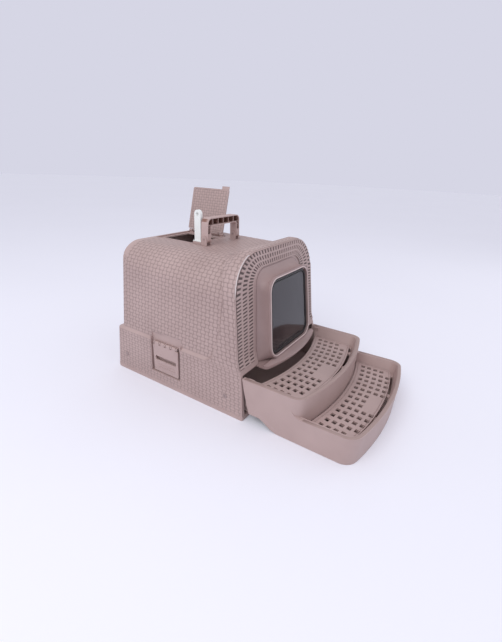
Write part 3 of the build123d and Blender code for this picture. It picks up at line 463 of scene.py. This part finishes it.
def main_area(p):
    """Room on the hood's main body: behind the sweep, clear of latches and roof fittings."""
    room = p.y - lerp_table(SWEEP, p.z) - SWEEP_CLEAR
    if p.z < LATCH_ZONE_TOP:
        return min(room, free_of_latch(p))
    if p.z > ROOF_ZONE_LOW:
        return min([room] + [outside(p.x, p.y, box) for box in ROOF_KEPT])
    return room


def border_area(p):
    """Room on the raised border, in front of the sweep."""
    return lerp_table(SWEEP, p.z) - BORDER_CLEAR - p.y


def skirt_area(p):
    """Room on the skirt: clear of latches and buttons on the sides, open across the rear."""
    return min(free_of_latch(p), free_of_buttons(p)) if p.y < REAR_ZONE_Y else math.inf


def settle(point, area, reach):
    """Move a point that is just outside an area onto its edge; None when it is well outside."""
    room = area(point)
    if room >= 0.0:
        return point
    if room < -reach:
        return None
    nudges = [Vector(axis) * SETTLE_STEP for axis in ((1, 0, 0), (0, 1, 0), (0, 0, 1))]
    slope = Vector([(area(point + nudge) - room) / SETTLE_STEP for nudge in nudges])
    if slope.length < LEAST_SLOPE:
        return None
    return point - slope * (room / slope.length_squared)


class Skin:
    """Surface of one CAD node, met by rays along a sheet's own normals."""

    def __init__(self, node):
        mesh = frame["nodes"][node].data
        self.tree = BVHTree.FromPolygons([v.co for v in mesh.vertices], [p.vertices for p in mesh.polygons])

    def drop(self, point, normal):
        """Point on the skin below or above a rough point, or None."""
        start = (point + normal * DROP_REACH) * MM
        hit, facing, _, _ = self.tree.ray_cast(start, -normal, 2.0 * DROP_REACH * MM)
        if hit is None or facing.dot(normal) < DROP_FACING:
            return None
        return hit / MM


BRICK_LONG = (0.0, 0.12, 0.21, 0.25, 0.29, 0.38, 0.5, 0.62, 0.71, 0.75, 0.79, 0.88)
BRICK_CROSS = (0.0, 0.14, 0.5, 0.86)
LADDER_STEPS = (0.0, 0.1, 0.2, 0.3, 0.4, 0.5, 0.6, 0.7, 0.8, 0.9)
STAKE, STAKE_HIGH = 0.44, 0.78     # share of a half strap where the stake shows, and its height
RING_STAKE, RING_RUNG = (0.66, 0.14), (0.62, 0.2)     # start and run of each slope
RING_STAKE_HIGH = 0.92


def spread(count, steps):
    """Sample places along a run of cells, with the end."""
    return [k + s for k in range(count) for s in steps] + [float(count)]


def brick(u, v):
    """Height share of plain weave: straps over stakes, each second row shifted by half a strap."""
    fu = abs(2.0 * ((u + 0.5 * (int(v) % 2)) % 1.0) - 1.0)
    fv = abs(2.0 * (v % 1.0) - 1.0)
    if fu > 1.0 - STAKE:
        return STAKE_HIGH * (1.0 - ((1.0 - fu) / STAKE) ** 4) * (1.0 - 0.5 * fv ** 4)
    return (1.0 - (fu / (1.0 - STAKE)) ** 6) * (1.0 - fv ** 4)


def ladder(u, v):
    """Height share of the coarse weave: stakes between rings, rungs shifted ring by ring."""
    fu = abs(2.0 * (u % 1.0) - 1.0)
    fv = abs(2.0 * ((v + 0.5 * (int(u) % 2)) % 1.0) - 1.0)
    stake = max(0.0, min(1.0, (fu - RING_STAKE[0]) / RING_STAKE[1]))
    rung = max(0.0, min(1.0, (RING_RUNG[0] - fv) / RING_RUNG[1]))
    return max(stake * RING_STAKE_HIGH, rung)


def grid_bmesh(columns, rows):
    """Grid bmesh with room for the relief's height shares, and each vertex's place in it."""
    bm = bmesh.new()
    bmesh.ops.create_grid(bm, x_segments=columns, y_segments=rows, size=1.0)
    bm.verts.layers.float.new("relief")
    spots = {v: (round((v.co.x + 1.0) / 2.0 * columns), round((v.co.y + 1.0) / 2.0 * rows)) for v in bm.verts}
    return bm, spots


def relief(name, cells, place, height, material, skin, body=SHELL, area=None, pattern=brick,
           steps=(BRICK_LONG, BRICK_CROSS), base=0.12):
    """Woven sheet on a surface: place(u, v) gives a rough point and its normal in mm for shares 0..1."""
    columns, rows = cells
    us, vs = spread(columns, steps[0]), spread(rows, steps[1])
    bm, spots = grid_bmesh(len(us) - 1, len(vs) - 1)
    layer = bm.verts.layers.float["relief"]
    gone = []
    for vert, (i, j) in spots.items():
        u, v = us[i], vs[j]
        point, normal = place(u / columns, v / rows)
        h = pattern(min(u, columns - 1e-6), min(v, rows - 1e-6))
        if area is not None:
            point = settle(point, area, SETTLE_REACH)
        if point is not None:
            point = skin.drop(point, normal)
        if point is None:
            gone.append(vert)
            continue
        vert.co = (point + normal * (base + height * h)) * MM
        vert[layer] = h
    bmesh.ops.delete(bm, geom=gone, context="VERTS")
    face_outwards(bm)
    finish_piece(name, bm, material, body)


def face_outwards(bm):
    """Turn a sheet's faces away from the middle of the box."""
    bm.normal_update()
    middle = Vector((0.0, 0.0, 0.2))
    lean = sum(f.normal.dot(f.calc_center_median() - middle) * f.calc_area() for f in bm.faces)
    if lean < 0.0:
        bmesh.ops.reverse_faces(bm, faces=bm.faces)


def bead(name, path, normals, half_width, height, material, body=SHELL, slot=PLASTIC, closed=False, sides=10):
    """Rounded bead along a path of points in mm, raised along the given normals."""
    count = len(path)
    bm, spots = grid_bmesh(count if closed else count - 1, sides)
    for vert, (i, j) in spots.items():
        k = i % count
        before = path[(k - 1) % count] if closed or k else path[0]
        after = path[(k + 1) % count] if closed or k < count - 1 else path[-1]
        along = (after - before).normalized()
        up = normals[k]
        across = along.cross(up).normalized()
        a = 2.0 * math.pi * j / sides
        vert.co = (path[k] + across * (half_width * math.cos(a)) + up * (height * math.sin(a))) * MM
    bmesh.ops.remove_doubles(bm, verts=bm.verts, dist=1e-6)
    if not closed:
        bmesh.ops.holes_fill(bm, edges=[e for e in bm.edges if e.is_boundary], sides=sides)
    bmesh.ops.recalc_face_normals(bm, faces=bm.faces)
    finish_piece(name, bm, material, body)


def finish_piece(name, bm, material, body):
    """Mesh object from a bmesh, smooth shaded, riding on a body."""
    mesh = bpy.data.meshes.new(name)
    for face in bm.faces:
        face.smooth = True
    bm.to_mesh(mesh)
    bm.free()
    obj = bpy.data.objects.new(name, mesh)
    bpy.context.scene.collection.objects.link(obj)
    mesh.materials.append(material)
    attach(obj, body)


def rounded_loop(corners, radii):
    """Closed flat path through rounded corners, as 2-D vectors."""
    loop = []
    count = len(corners)
    for k in range(count):
        a, b, c = (Vector(corners[(k + d) % count]) for d in (-1, 0, 1))
        to_a, to_c = (a - b).normalized(), (c - b).normalized()
        half_angle = to_a.angle(to_c) / 2.0
        r = radii[k]
        centre = b + (to_a + to_c).normalized() * (r / math.sin(half_angle))
        start, end = b + to_a * (r / math.tan(half_angle)), b + to_c * (r / math.tan(half_angle))
        turns = max(2, round(r * (math.pi - 2 * half_angle) / LOOP_STEP) + 1)
        for t in range(turns + 1):
            spoke = (start - centre).lerp(end - centre, t / turns)
            loop.append(centre + spoke.normalized() * r)
    return refine(loop)


def refine(points):
    """Closed path with extra points on its long straights."""
    result = []
    for a, b in zip(points, points[1:] + points[:1]):
        parts = max(1, round((b - a).length / (4.0 * LOOP_STEP)))
        result += [a.lerp(b, t / parts) for t in range(parts)]
    return result


def opened(point):
    """Place on the open lid of a point on the closed one."""
    return LID_PIVOT + LID_TURN @ (point - LID_PIVOT)


def door_loop(grow, proud):
    """Closed path round the door opening and its normals, grown outwards, proud of the door plane."""
    normal = Vector((0.0, -math.cos(DOOR_LEAN), math.sin(DOOR_LEAN)))
    upward = Vector((0.0, math.sin(DOOR_LEAN), math.cos(DOOR_LEAN)))
    origin = Vector((0.0, DOOR_Y, DOOR_Z)) + normal * proud
    low, high = DOOR_HALF[0] + grow, DOOR_HALF[1] + grow
    down, up = DOOR_SPAN[0] - grow, DOOR_SPAN[1] + grow
    loop = rounded_loop([(-low, down), (low, down), (high, up), (-high, up)], [DOOR_CORNER + grow] * 4)
    path = [origin + Vector((p.x, 0.0, 0.0)) + upward * p.y for p in loop]
    return path, [normal] * len(path)


def arc_y(radius, x):
    """Y on a step's arc about the common centre."""
    return ARC_Y - math.sqrt(radius ** 2 - x ** 2)


def step_path(half, y_rear, radius, corner, height):
    """Open path round a step: side, corner, front arc, corner, side. Height gives Z for a Y."""
    tip = (radius - corner) ** 2 - (half - corner) ** 2
    cy = ARC_Y - math.sqrt(tip)
    reach = math.atan2(half - corner, math.sqrt(tip))
    points = [Vector((half, y_rear)), Vector((half, (y_rear + cy) / 2))]
    for k in range(9):
        a = (math.pi / 2 - reach) * k / 8
        points.append(Vector((half - corner + corner * math.cos(a), cy - corner * math.sin(a))))
    for k in range(1, 12):
        x = radius * math.sin(reach) * (1.0 - k / 12.0)
        points.append(Vector((x, arc_y(radius, x))))
    whole = points + [Vector((0.0, arc_y(radius, 0.0)))] + [Vector((-p.x, p.y)) for p in reversed(points)]
    return [Vector((p.x, p.y, height(p.y))) for p in whole]


class WeaveSettings(bpy.types.PropertyGroup):
    """Sizes of the woven relief."""

    cell: bpy.props.FloatProperty(name="Cell", description="Length of one woven strap",
                                  default=0.0248, min=0.005, unit="LENGTH", precision=4)
    row: bpy.props.FloatProperty(name="Row", description="Height of one woven row",
                                 default=0.0092, min=0.003, unit="LENGTH", precision=4)
    skirt_row: bpy.props.FloatProperty(name="Skirt row", description="Height of one woven row on the skirt",
                                       default=0.0074, min=0.003, unit="LENGTH", precision=4)
    height: bpy.props.FloatProperty(name="Relief", description="Height of the fine relief",
                                    default=0.0009, min=0.0, unit="LENGTH", precision=4)
    coarse: bpy.props.FloatProperty(name="Coarse relief", description="Height of the relief round the door",
                                    default=0.002, min=0.0, unit="LENGTH", precision=4)
    coarse_row: bpy.props.FloatProperty(name="Coarse row", description="Pitch of the relief round the door",
                                        default=0.0096, min=0.003, unit="LENGTH", precision=4)

    def mm(self, name):
        """One of the lengths in mm."""
        return getattr(self, name) / MM


class ColourSettings(bpy.types.PropertyGroup):
    """Colours of the plastics."""

    plastic: bpy.props.FloatVectorProperty(name="Plastic", description="Colour of the mouldings",
                                           default=TAUPE, size=4, min=0.0, max=1.0, subtype="COLOR")
    shade: bpy.props.FloatVectorProperty(name="Shade", description="Colour of the mouldings' streaks",
                                         default=TAUPE_DARK, size=4, min=0.0, max=1.0, subtype="COLOR")
    scoop: bpy.props.FloatVectorProperty(name="Scoop", description="Colour of the scoop",
                                         default=SCOOP_WHITE, size=4, min=0.0, max=1.0, subtype="COLOR")
    flap: bpy.props.FloatVectorProperty(name="Flap", description="Tint of the see-through flap",
                                        default=SMOKE, size=4, min=0.0, max=1.0, subtype="COLOR")

    def pair(self):
        """Colour and streak colour of the mouldings."""
        return tuple(self.plastic), tuple(self.shade)


class StageSettings(bpy.types.PropertyGroup):
    """Light levels of the plain studio."""

    key: bpy.props.FloatProperty(name="Key", description="Power of the large key light",
                                 default=26.0, min=0.0, unit="POWER")
    fill: bpy.props.FloatProperty(name="Fill", description="Power of the fill light",
                                  default=5.0, min=0.0, unit="POWER")
    sky: bpy.props.FloatProperty(name="Sky", description="Strength of the surrounding light",
                                 default=0.84, min=0.0)


class LITTER_OT_materials(bpy.types.Operator):
    """Give every CAD node its procedural material"""

    bl_idname = "litter.materials"
    bl_label = "Dress CAD Nodes"

    def execute(self, context):
        colours = context.scene.litter_colours
        plastic, shade = colours.pair()
        made = {
            "taupe_plastic": moulded("taupe_plastic", plastic, shade),
            "button_plastic": moulded("button_plastic", BUTTON, shade, 0.4),
            "white_plastic": glossy("white_plastic", tuple(colours.scoop)),
            "smoky_clear": smoky("smoky_clear", tuple(colours.flap)),
            "dark_pin_steel": drawn_wire("dark_pin_steel"),
        }
        own = {
            # the handle's material has painted shade in its channel
            "carry_handle": channelled("taupe_handle_channel_shade", plastic, HANDLE_CHANNEL_SHADE),
            # the front panel's plastic is painted darker as painted shade
            "front_panel": moulded("taupe_front_shaded", FRONT_SHADED_TAUPE, FRONT_SHADED_DARK),
            # the drawer's material has painted shade in its wells
            "drawer_tray": stepped("taupe_drawer_well_shade", plastic, shade),
        }
        for part in frame["record"]["subparts"]:
            materials = frame["nodes"][part["node"]].data.materials
            materials.clear()
            materials.append(own.get(part["node"], made[part["material_slot"]]))
        return {"FINISHED"}


class LITTER_OT_hood_weave(bpy.types.Operator):
    """Woven relief on the hood's sides, roof, rear, skirt and raised border"""

    bl_idname = "litter.hood_weave"
    bl_label = "Weave Hood"

    def execute(self, context):
        w = context.scene.litter_weave
        cell, row, height = w.mm("cell"), w.mm("row"), w.mm("height")
        cloth = woven("taupe_woven_groove_shade", *context.scene.litter_colours.pair()), Skin("hood_shell")
        self.main_body(cell, row, height, *cloth)
        self.rear(cell, row, height, *cloth)
        self.skirt(cell, w.mm("skirt_row"), min(height, SKIRT_RELIEF), *cloth)
        self.border(cell, row, height, *cloth)
        return {"FINISHED"}

    def main_body(self, cell, row, height, material, skin):
        """Both walls and the roof in one sheet, from belt to belt."""
        low = BELT_TOP + BELT_CLEAR
        columns, rows = round(MAIN_LENGTH / cell), 2 * round(MAIN_HEIGHT / row)

        def place(u, v):
            point, _ = arch_point(0.0, v, low, MAIN_HALF, ROOF_Z, arch_radius(0.0))
            rear = MAIN_REAR - REAR_LEAN * point.z - CORNER_R
            y = rear + (MAIN_FRONT - rear) * u
            return arch_point(y, v, low, MAIN_HALF, ROOF_Z, arch_radius(y))
        relief("hood_weave_main", (columns, rows), place, height, material, skin, area=main_area)

    def rear(self, cell, row, height, material, skin):
        low = BELT_TOP + BELT_CLEAR
        columns = round(2 * (CORNER_R * math.pi / 2 + REAR_RUN) / cell)

        def place(u, v):
            z = low + (REAR_TOP - low) * v
            half, rear = MAIN_HALF - MAIN_LEAN * z, MAIN_REAR - REAR_LEAN * z
            return wall_point(u, z, half, rear, rear - CORNER_R)
        relief("hood_weave_rear", (columns, round((REAR_TOP - low) / row)), place, height, material, skin)

    def skirt(self, cell, row, height, material, skin):
        low, high = SKIRT_LOW, SKIRT_TOP - 1.5
        columns = round(2 * (SKIRT_RUN + CORNER_R * math.pi / 2 + SKIRT_HALF - 20.0) / cell)

        def place(u, v):
            z = low + (high - low) * v
            half, rear = SKIRT_HALF - SKIRT_LEAN * z, SKIRT_REAR - SKIRT_REAR_LEAN * z
            return wall_point(u, z, half, rear, lerp_table(FRONT_EDGE, z) + EDGE_CLEAR)
        relief("hood_weave_skirt", (columns, round((high - low) / row)), place, height, material, skin,
               area=skirt_area)

    def border(self, cell, row, height, material, skin):
        low, depth = SKIRT_TOP + 1.0, BORDER_CELLS * cell
        rows = 2 * round(BORDER_LENGTH / row)

        def place(u, v):
            point, _ = brow_point(BORDER_Y, v, low)
            return brow_point(lerp_table(FRONT_EDGE, point.z) + EDGE_CLEAR + depth * u, v, low)
        relief("hood_weave_border", (BORDER_CELLS, rows), place, height, material, skin, area=border_area)


class LITTER_OT_front_weave(bpy.types.Operator):
    """Coarse woven relief that follows the arch round the door"""

    bl_idname = "litter.front_weave"
    bl_label = "Weave Front"

    def execute(self, context):
        w = context.scene.litter_weave
        # strong painted shade deep in the front relief's holes
        material = woven("taupe_woven_front_groove_shade", *context.scene.litter_colours.pair(), 0.12, 0.85)
        normal = Vector((0.0, -math.cos(FRONT_LEAN), math.sin(FRONT_LEAN)))

        def place(u, v):
            flat = arch_path(FRONT_INNER, v).lerp(arch_path(FRONT_OUTER, v), u)
            y = FRONT_Y + (flat.y - FRONT_Z) * math.tan(FRONT_LEAN)
            return Vector((flat.x, y, flat.y)), normal
        rows = 2 * round(FRONT_LENGTH / w.mm("coarse_row"))
        relief("front_weave", (FRONT_RINGS, rows), place, w.mm("coarse"), material, Skin("hood_shell"),
               pattern=ladder, steps=(LADDER_STEPS, LADDER_STEPS), base=0.1)
        return {"FINISHED"}


class LITTER_OT_lid_weave(bpy.types.Operator):
    """Woven relief on both faces of the open lid"""

    bl_idname = "litter.lid_weave"
    bl_label = "Weave Lid"

    def execute(self, context):
        material = woven("taupe_woven_lid_groove_shade", *context.scene.litter_colours.pair())
        for tag, z, up, (x0, x1), (y0, y1) in LID_FACES:
            def place(u, v):
                closed = Vector((x0 + (x1 - x0) * v, y0 + (y1 - y0) * u, z))
                return opened(closed), LID_TURN @ Vector((0.0, 0.0, up))
            cells = (round((y1 - y0) / LID_CELL), round((x1 - x0) / LID_ROW))
            relief(f"lid_weave_{tag}", cells, place, LID_RELIEF, material, Flat(), "lid")
        return {"FINISHED"}


class Flat:
    """Stand-in for a skin when a sheet's own places are exact."""

    def drop(self, point, normal):
        return point


class LITTER_OT_rims(bpy.types.Operator):
    """Rounded rims and edge lines of the mouldings"""

    bl_idname = "litter.rims"
    bl_label = "Round Rims"

    def execute(self, context):
        plastic, shade = context.scene.litter_colours.pair()
        # the rims' plastic is painted a shade darker than the walls, as painted shade
        material = moulded("taupe_rims_shaded", RIM_SHADED_TAUPE, shade, 0.58)
        self.door_lip(plastic)
        self.flap_shadow_rim(shade)
        self.front_edge(bpy.data.materials["taupe_plastic"])
        self.step_rims(material)
        self.grid_lines(material)
        self.roof_rim(material)
        self.lid_edge(material)
        return {"FINISHED"}

    def door_lip(self, plastic):
        """Bead on the inner edge of the door frame's lip, coloured light as a painted highlight."""
        material = moulded("taupe_lip_highlight", LIP_HIGHLIGHT, plastic)
        bead("door_lip", *door_loop(*LIP_PLACE), *LIP_BEAD, material, closed=True)

    def flap_shadow_rim(self, fleck):
        """Dark rim round the flap, painted shadow of the gap behind the lip, low enough to swing clear of the
        lip.
        """
        material = painted_shadow_rim("flap_gap_shadow", fleck)
        bead("flap_shadow_rim", *door_loop(*FLAP_PLACE), *FLAP_BEAD, material, "door", "smoky_clear", closed=True)

    def front_edge(self, material):
        """Bead along the border's front edge, set lower where it passes over the brow."""
        path, normals = [], []
        for k in range(EDGE_POINTS + 1):
            point, normal = brow_point(BORDER_Y, k / EDGE_POINTS, EDGE_LOW)
            drop = BROW_DROP if point.z > BROW_ZONE else 0.0
            place = Vector((point.x, lerp_table(FRONT_EDGE, point.z) + EDGE_IN, point.z - drop))
            path.append(place - normal * EDGE_BEAD[0])
            normals.append((normal + Vector((0.0, -1.0, 0.0))).normalized())
        bead("front_edge_bead", path, normals, *EDGE_BEAD, material)

    def step_rims(self, material):
        """Rims of the two tiers, the lower one rising a little towards the front."""
        path = step_path(STEP_HALF - 3.4, TIER_REAR - 6.0, UPPER_R - 5.0, STEP_SHARP - 5.0,
                         lambda y: UPPER_TOP - 0.1)
        bead("upper_step_rim", path, [UP] * len(path), *UPPER_BEAD, material, "drawer")
        path = step_path(STEP_HALF - 3.6, LOWER_REAR, LOWER_R - 5.2, STEP_SHARP,
                         lambda y: LOWER_TOP - (y - LOWER_REAR + 2.0) * LOWER_RISE - 0.1)
        bead("lower_step_rim", path, [UP] * len(path), *LOWER_BEAD, material, "drawer")

    def grid_lines(self, material):
        """Fine raised line round each step grid."""
        for body, top, inner, outer in GRIDS:
            rear = inner + 6.0
            path = step_path(GRID_HALF, arc_y(rear, GRID_HALF), outer - 4.5, GRID_CORNER, lambda y: top)
            for k in range(1, 16):
                x = GRID_HALF * (k / 8.0 - 1.0)
                path.append(Vector((x, arc_y(rear, x), top)))
            bead(f"{body}_line", path, [UP] * len(path), *GRID_BEAD, material, body, closed=True, sides=6)

    def roof_rim(self, material):
        path = [Vector((p.x, p.y, ROOF_Z)) for p in rounded_loop(RECESS_CORNERS, RECESS_RADII)]
        bead("roof_recess_rim", path, [UP] * len(path), *RECESS_BEAD, material, closed=True)

    def lid_edge(self, material):
        path = [opened(Vector((p.x, p.y, LID_EDGE_Z))) for p in rounded_loop(LID_CORNERS, LID_RADII)]
        bead("lid_edge", path, [LID_TURN @ UP] * len(path), *LID_BEAD, material, "lid", closed=True)


class LITTER_OT_stage(bpy.types.Operator):
    """Plain pale floor, soft studio light and the photograph's camera"""

    bl_idname = "litter.stage"
    bl_label = "Set Stage"

    def execute(self, context):
        s = context.scene.litter_stage
        self.floor()
        self.world(s.sky)
        self.lamp("key_light", KEY_PLACE, s.key, KEY_SIZE)
        self.lamp("fill_light", FILL_PLACE, s.fill, FILL_SIZE)
        self.camera()
        context.scene.view_settings.view_transform = "Standard"
        return {"FINISHED"}

    def floor(self):
        bm = bmesh.new()
        bmesh.ops.create_circle(bm, cap_ends=True, segments=64, radius=FLOOR_RADIUS)
        mesh = bpy.data.meshes.new("floor")
        bm.to_mesh(mesh)
        bm.free()
        floor = bpy.data.objects.new("floor", mesh)
        bpy.context.scene.collection.objects.link(floor)
        mesh.materials.append(matte_floor("floor_paper"))

    def world(self, strength):
        """Soft sky that lights the object, seen by the camera in the far floor's own tone."""
        world = bpy.data.worlds.new("studio")
        g = Graph(world, "Background")
        g.set(Color=SKY, Strength=strength)
        sky = Value(g, g.shader.outputs["Background"])
        seen = g.node("ShaderNodeBackground", sockets={"Color": HORIZON})
        mix = g.node("ShaderNodeMixShader", sockets={0: g.camera_ray(), 1: sky, 2: seen})
        g.feed(g.nodes["World Output"].inputs["Surface"], mix)
        bpy.context.scene.world = world

    def lamp(self, name, place, power, size):
        """Square light aimed at the object."""
        light = bpy.data.lights.new(name, "AREA")
        light.energy = power
        light.size = size
        obj = bpy.data.objects.new(name, light)
        obj.location = place
        obj.rotation_euler = (LIGHT_AIM - obj.location).to_track_quat("-Z", "Y").to_euler()
        bpy.context.scene.collection.objects.link(obj)

    def camera(self):
        data = bpy.data.cameras.new("photo_camera")
        data.sensor_width = SENSOR_MM
        data.lens = SENSOR_MM * PHOTO_FOCAL_PX / PHOTO_LONG_PX
        data.clip_end = 60.0
        a, e, r = CAMERA_AZIMUTH, CAMERA_HEIGHT, CAMERA_ROLL
        back = Vector((math.sin(a) * math.cos(e), -math.cos(a) * math.cos(e), math.sin(e)))
        right = UP.cross(back).normalized()
        up = back.cross(right)
        turned_right = right * math.cos(r) + up * math.sin(r)
        turned_up = up * math.cos(r) - right * math.sin(r)
        obj = bpy.data.objects.new("photo_camera", data)
        basis = Matrix((turned_right, turned_up, back)).transposed()
        obj.matrix_world = Matrix.Translation(CAMERA_TARGET + back * CAMERA_DISTANCE) @ basis.to_4x4()
        bpy.context.scene.collection.objects.link(obj)
        bpy.context.scene.camera = obj


class LITTER_PT_panel(bpy.types.Panel):
    """Sidebar panel of the litter box"""

    bl_label = "Litter Box"
    bl_idname = "LITTER_PT_panel"
    bl_space_type = "VIEW_3D"
    bl_region_type = "UI"
    bl_category = "Litter Box"

    def draw(self, context):
        for step in STEPS:
            self.layout.operator(step.bl_idname)


STEPS = (LITTER_OT_materials, LITTER_OT_hood_weave, LITTER_OT_front_weave, LITTER_OT_lid_weave,
         LITTER_OT_rims, LITTER_OT_stage)
CLASSES = (WeaveSettings, ColourSettings, StageSettings) + STEPS + (LITTER_PT_panel,)


def register():
    for cls in CLASSES:
        bpy.utils.register_class(cls)
    bpy.types.Scene.litter_weave = bpy.props.PointerProperty(type=WeaveSettings)
    bpy.types.Scene.litter_colours = bpy.props.PointerProperty(type=ColourSettings)
    bpy.types.Scene.litter_stage = bpy.props.PointerProperty(type=StageSettings)


def unregister():
    del bpy.types.Scene.litter_weave
    del bpy.types.Scene.litter_colours
    del bpy.types.Scene.litter_stage
    for cls in reversed(CLASSES):
        bpy.utils.unregister_class(cls)


def main():
    register()
    bpy.ops.litter.materials()
    bpy.ops.litter.hood_weave()
    bpy.ops.litter.front_weave()
    bpy.ops.litter.lid_weave()
    bpy.ops.litter.rims()
    bpy.ops.litter.stage()


if __name__ == "__main__":
    main()
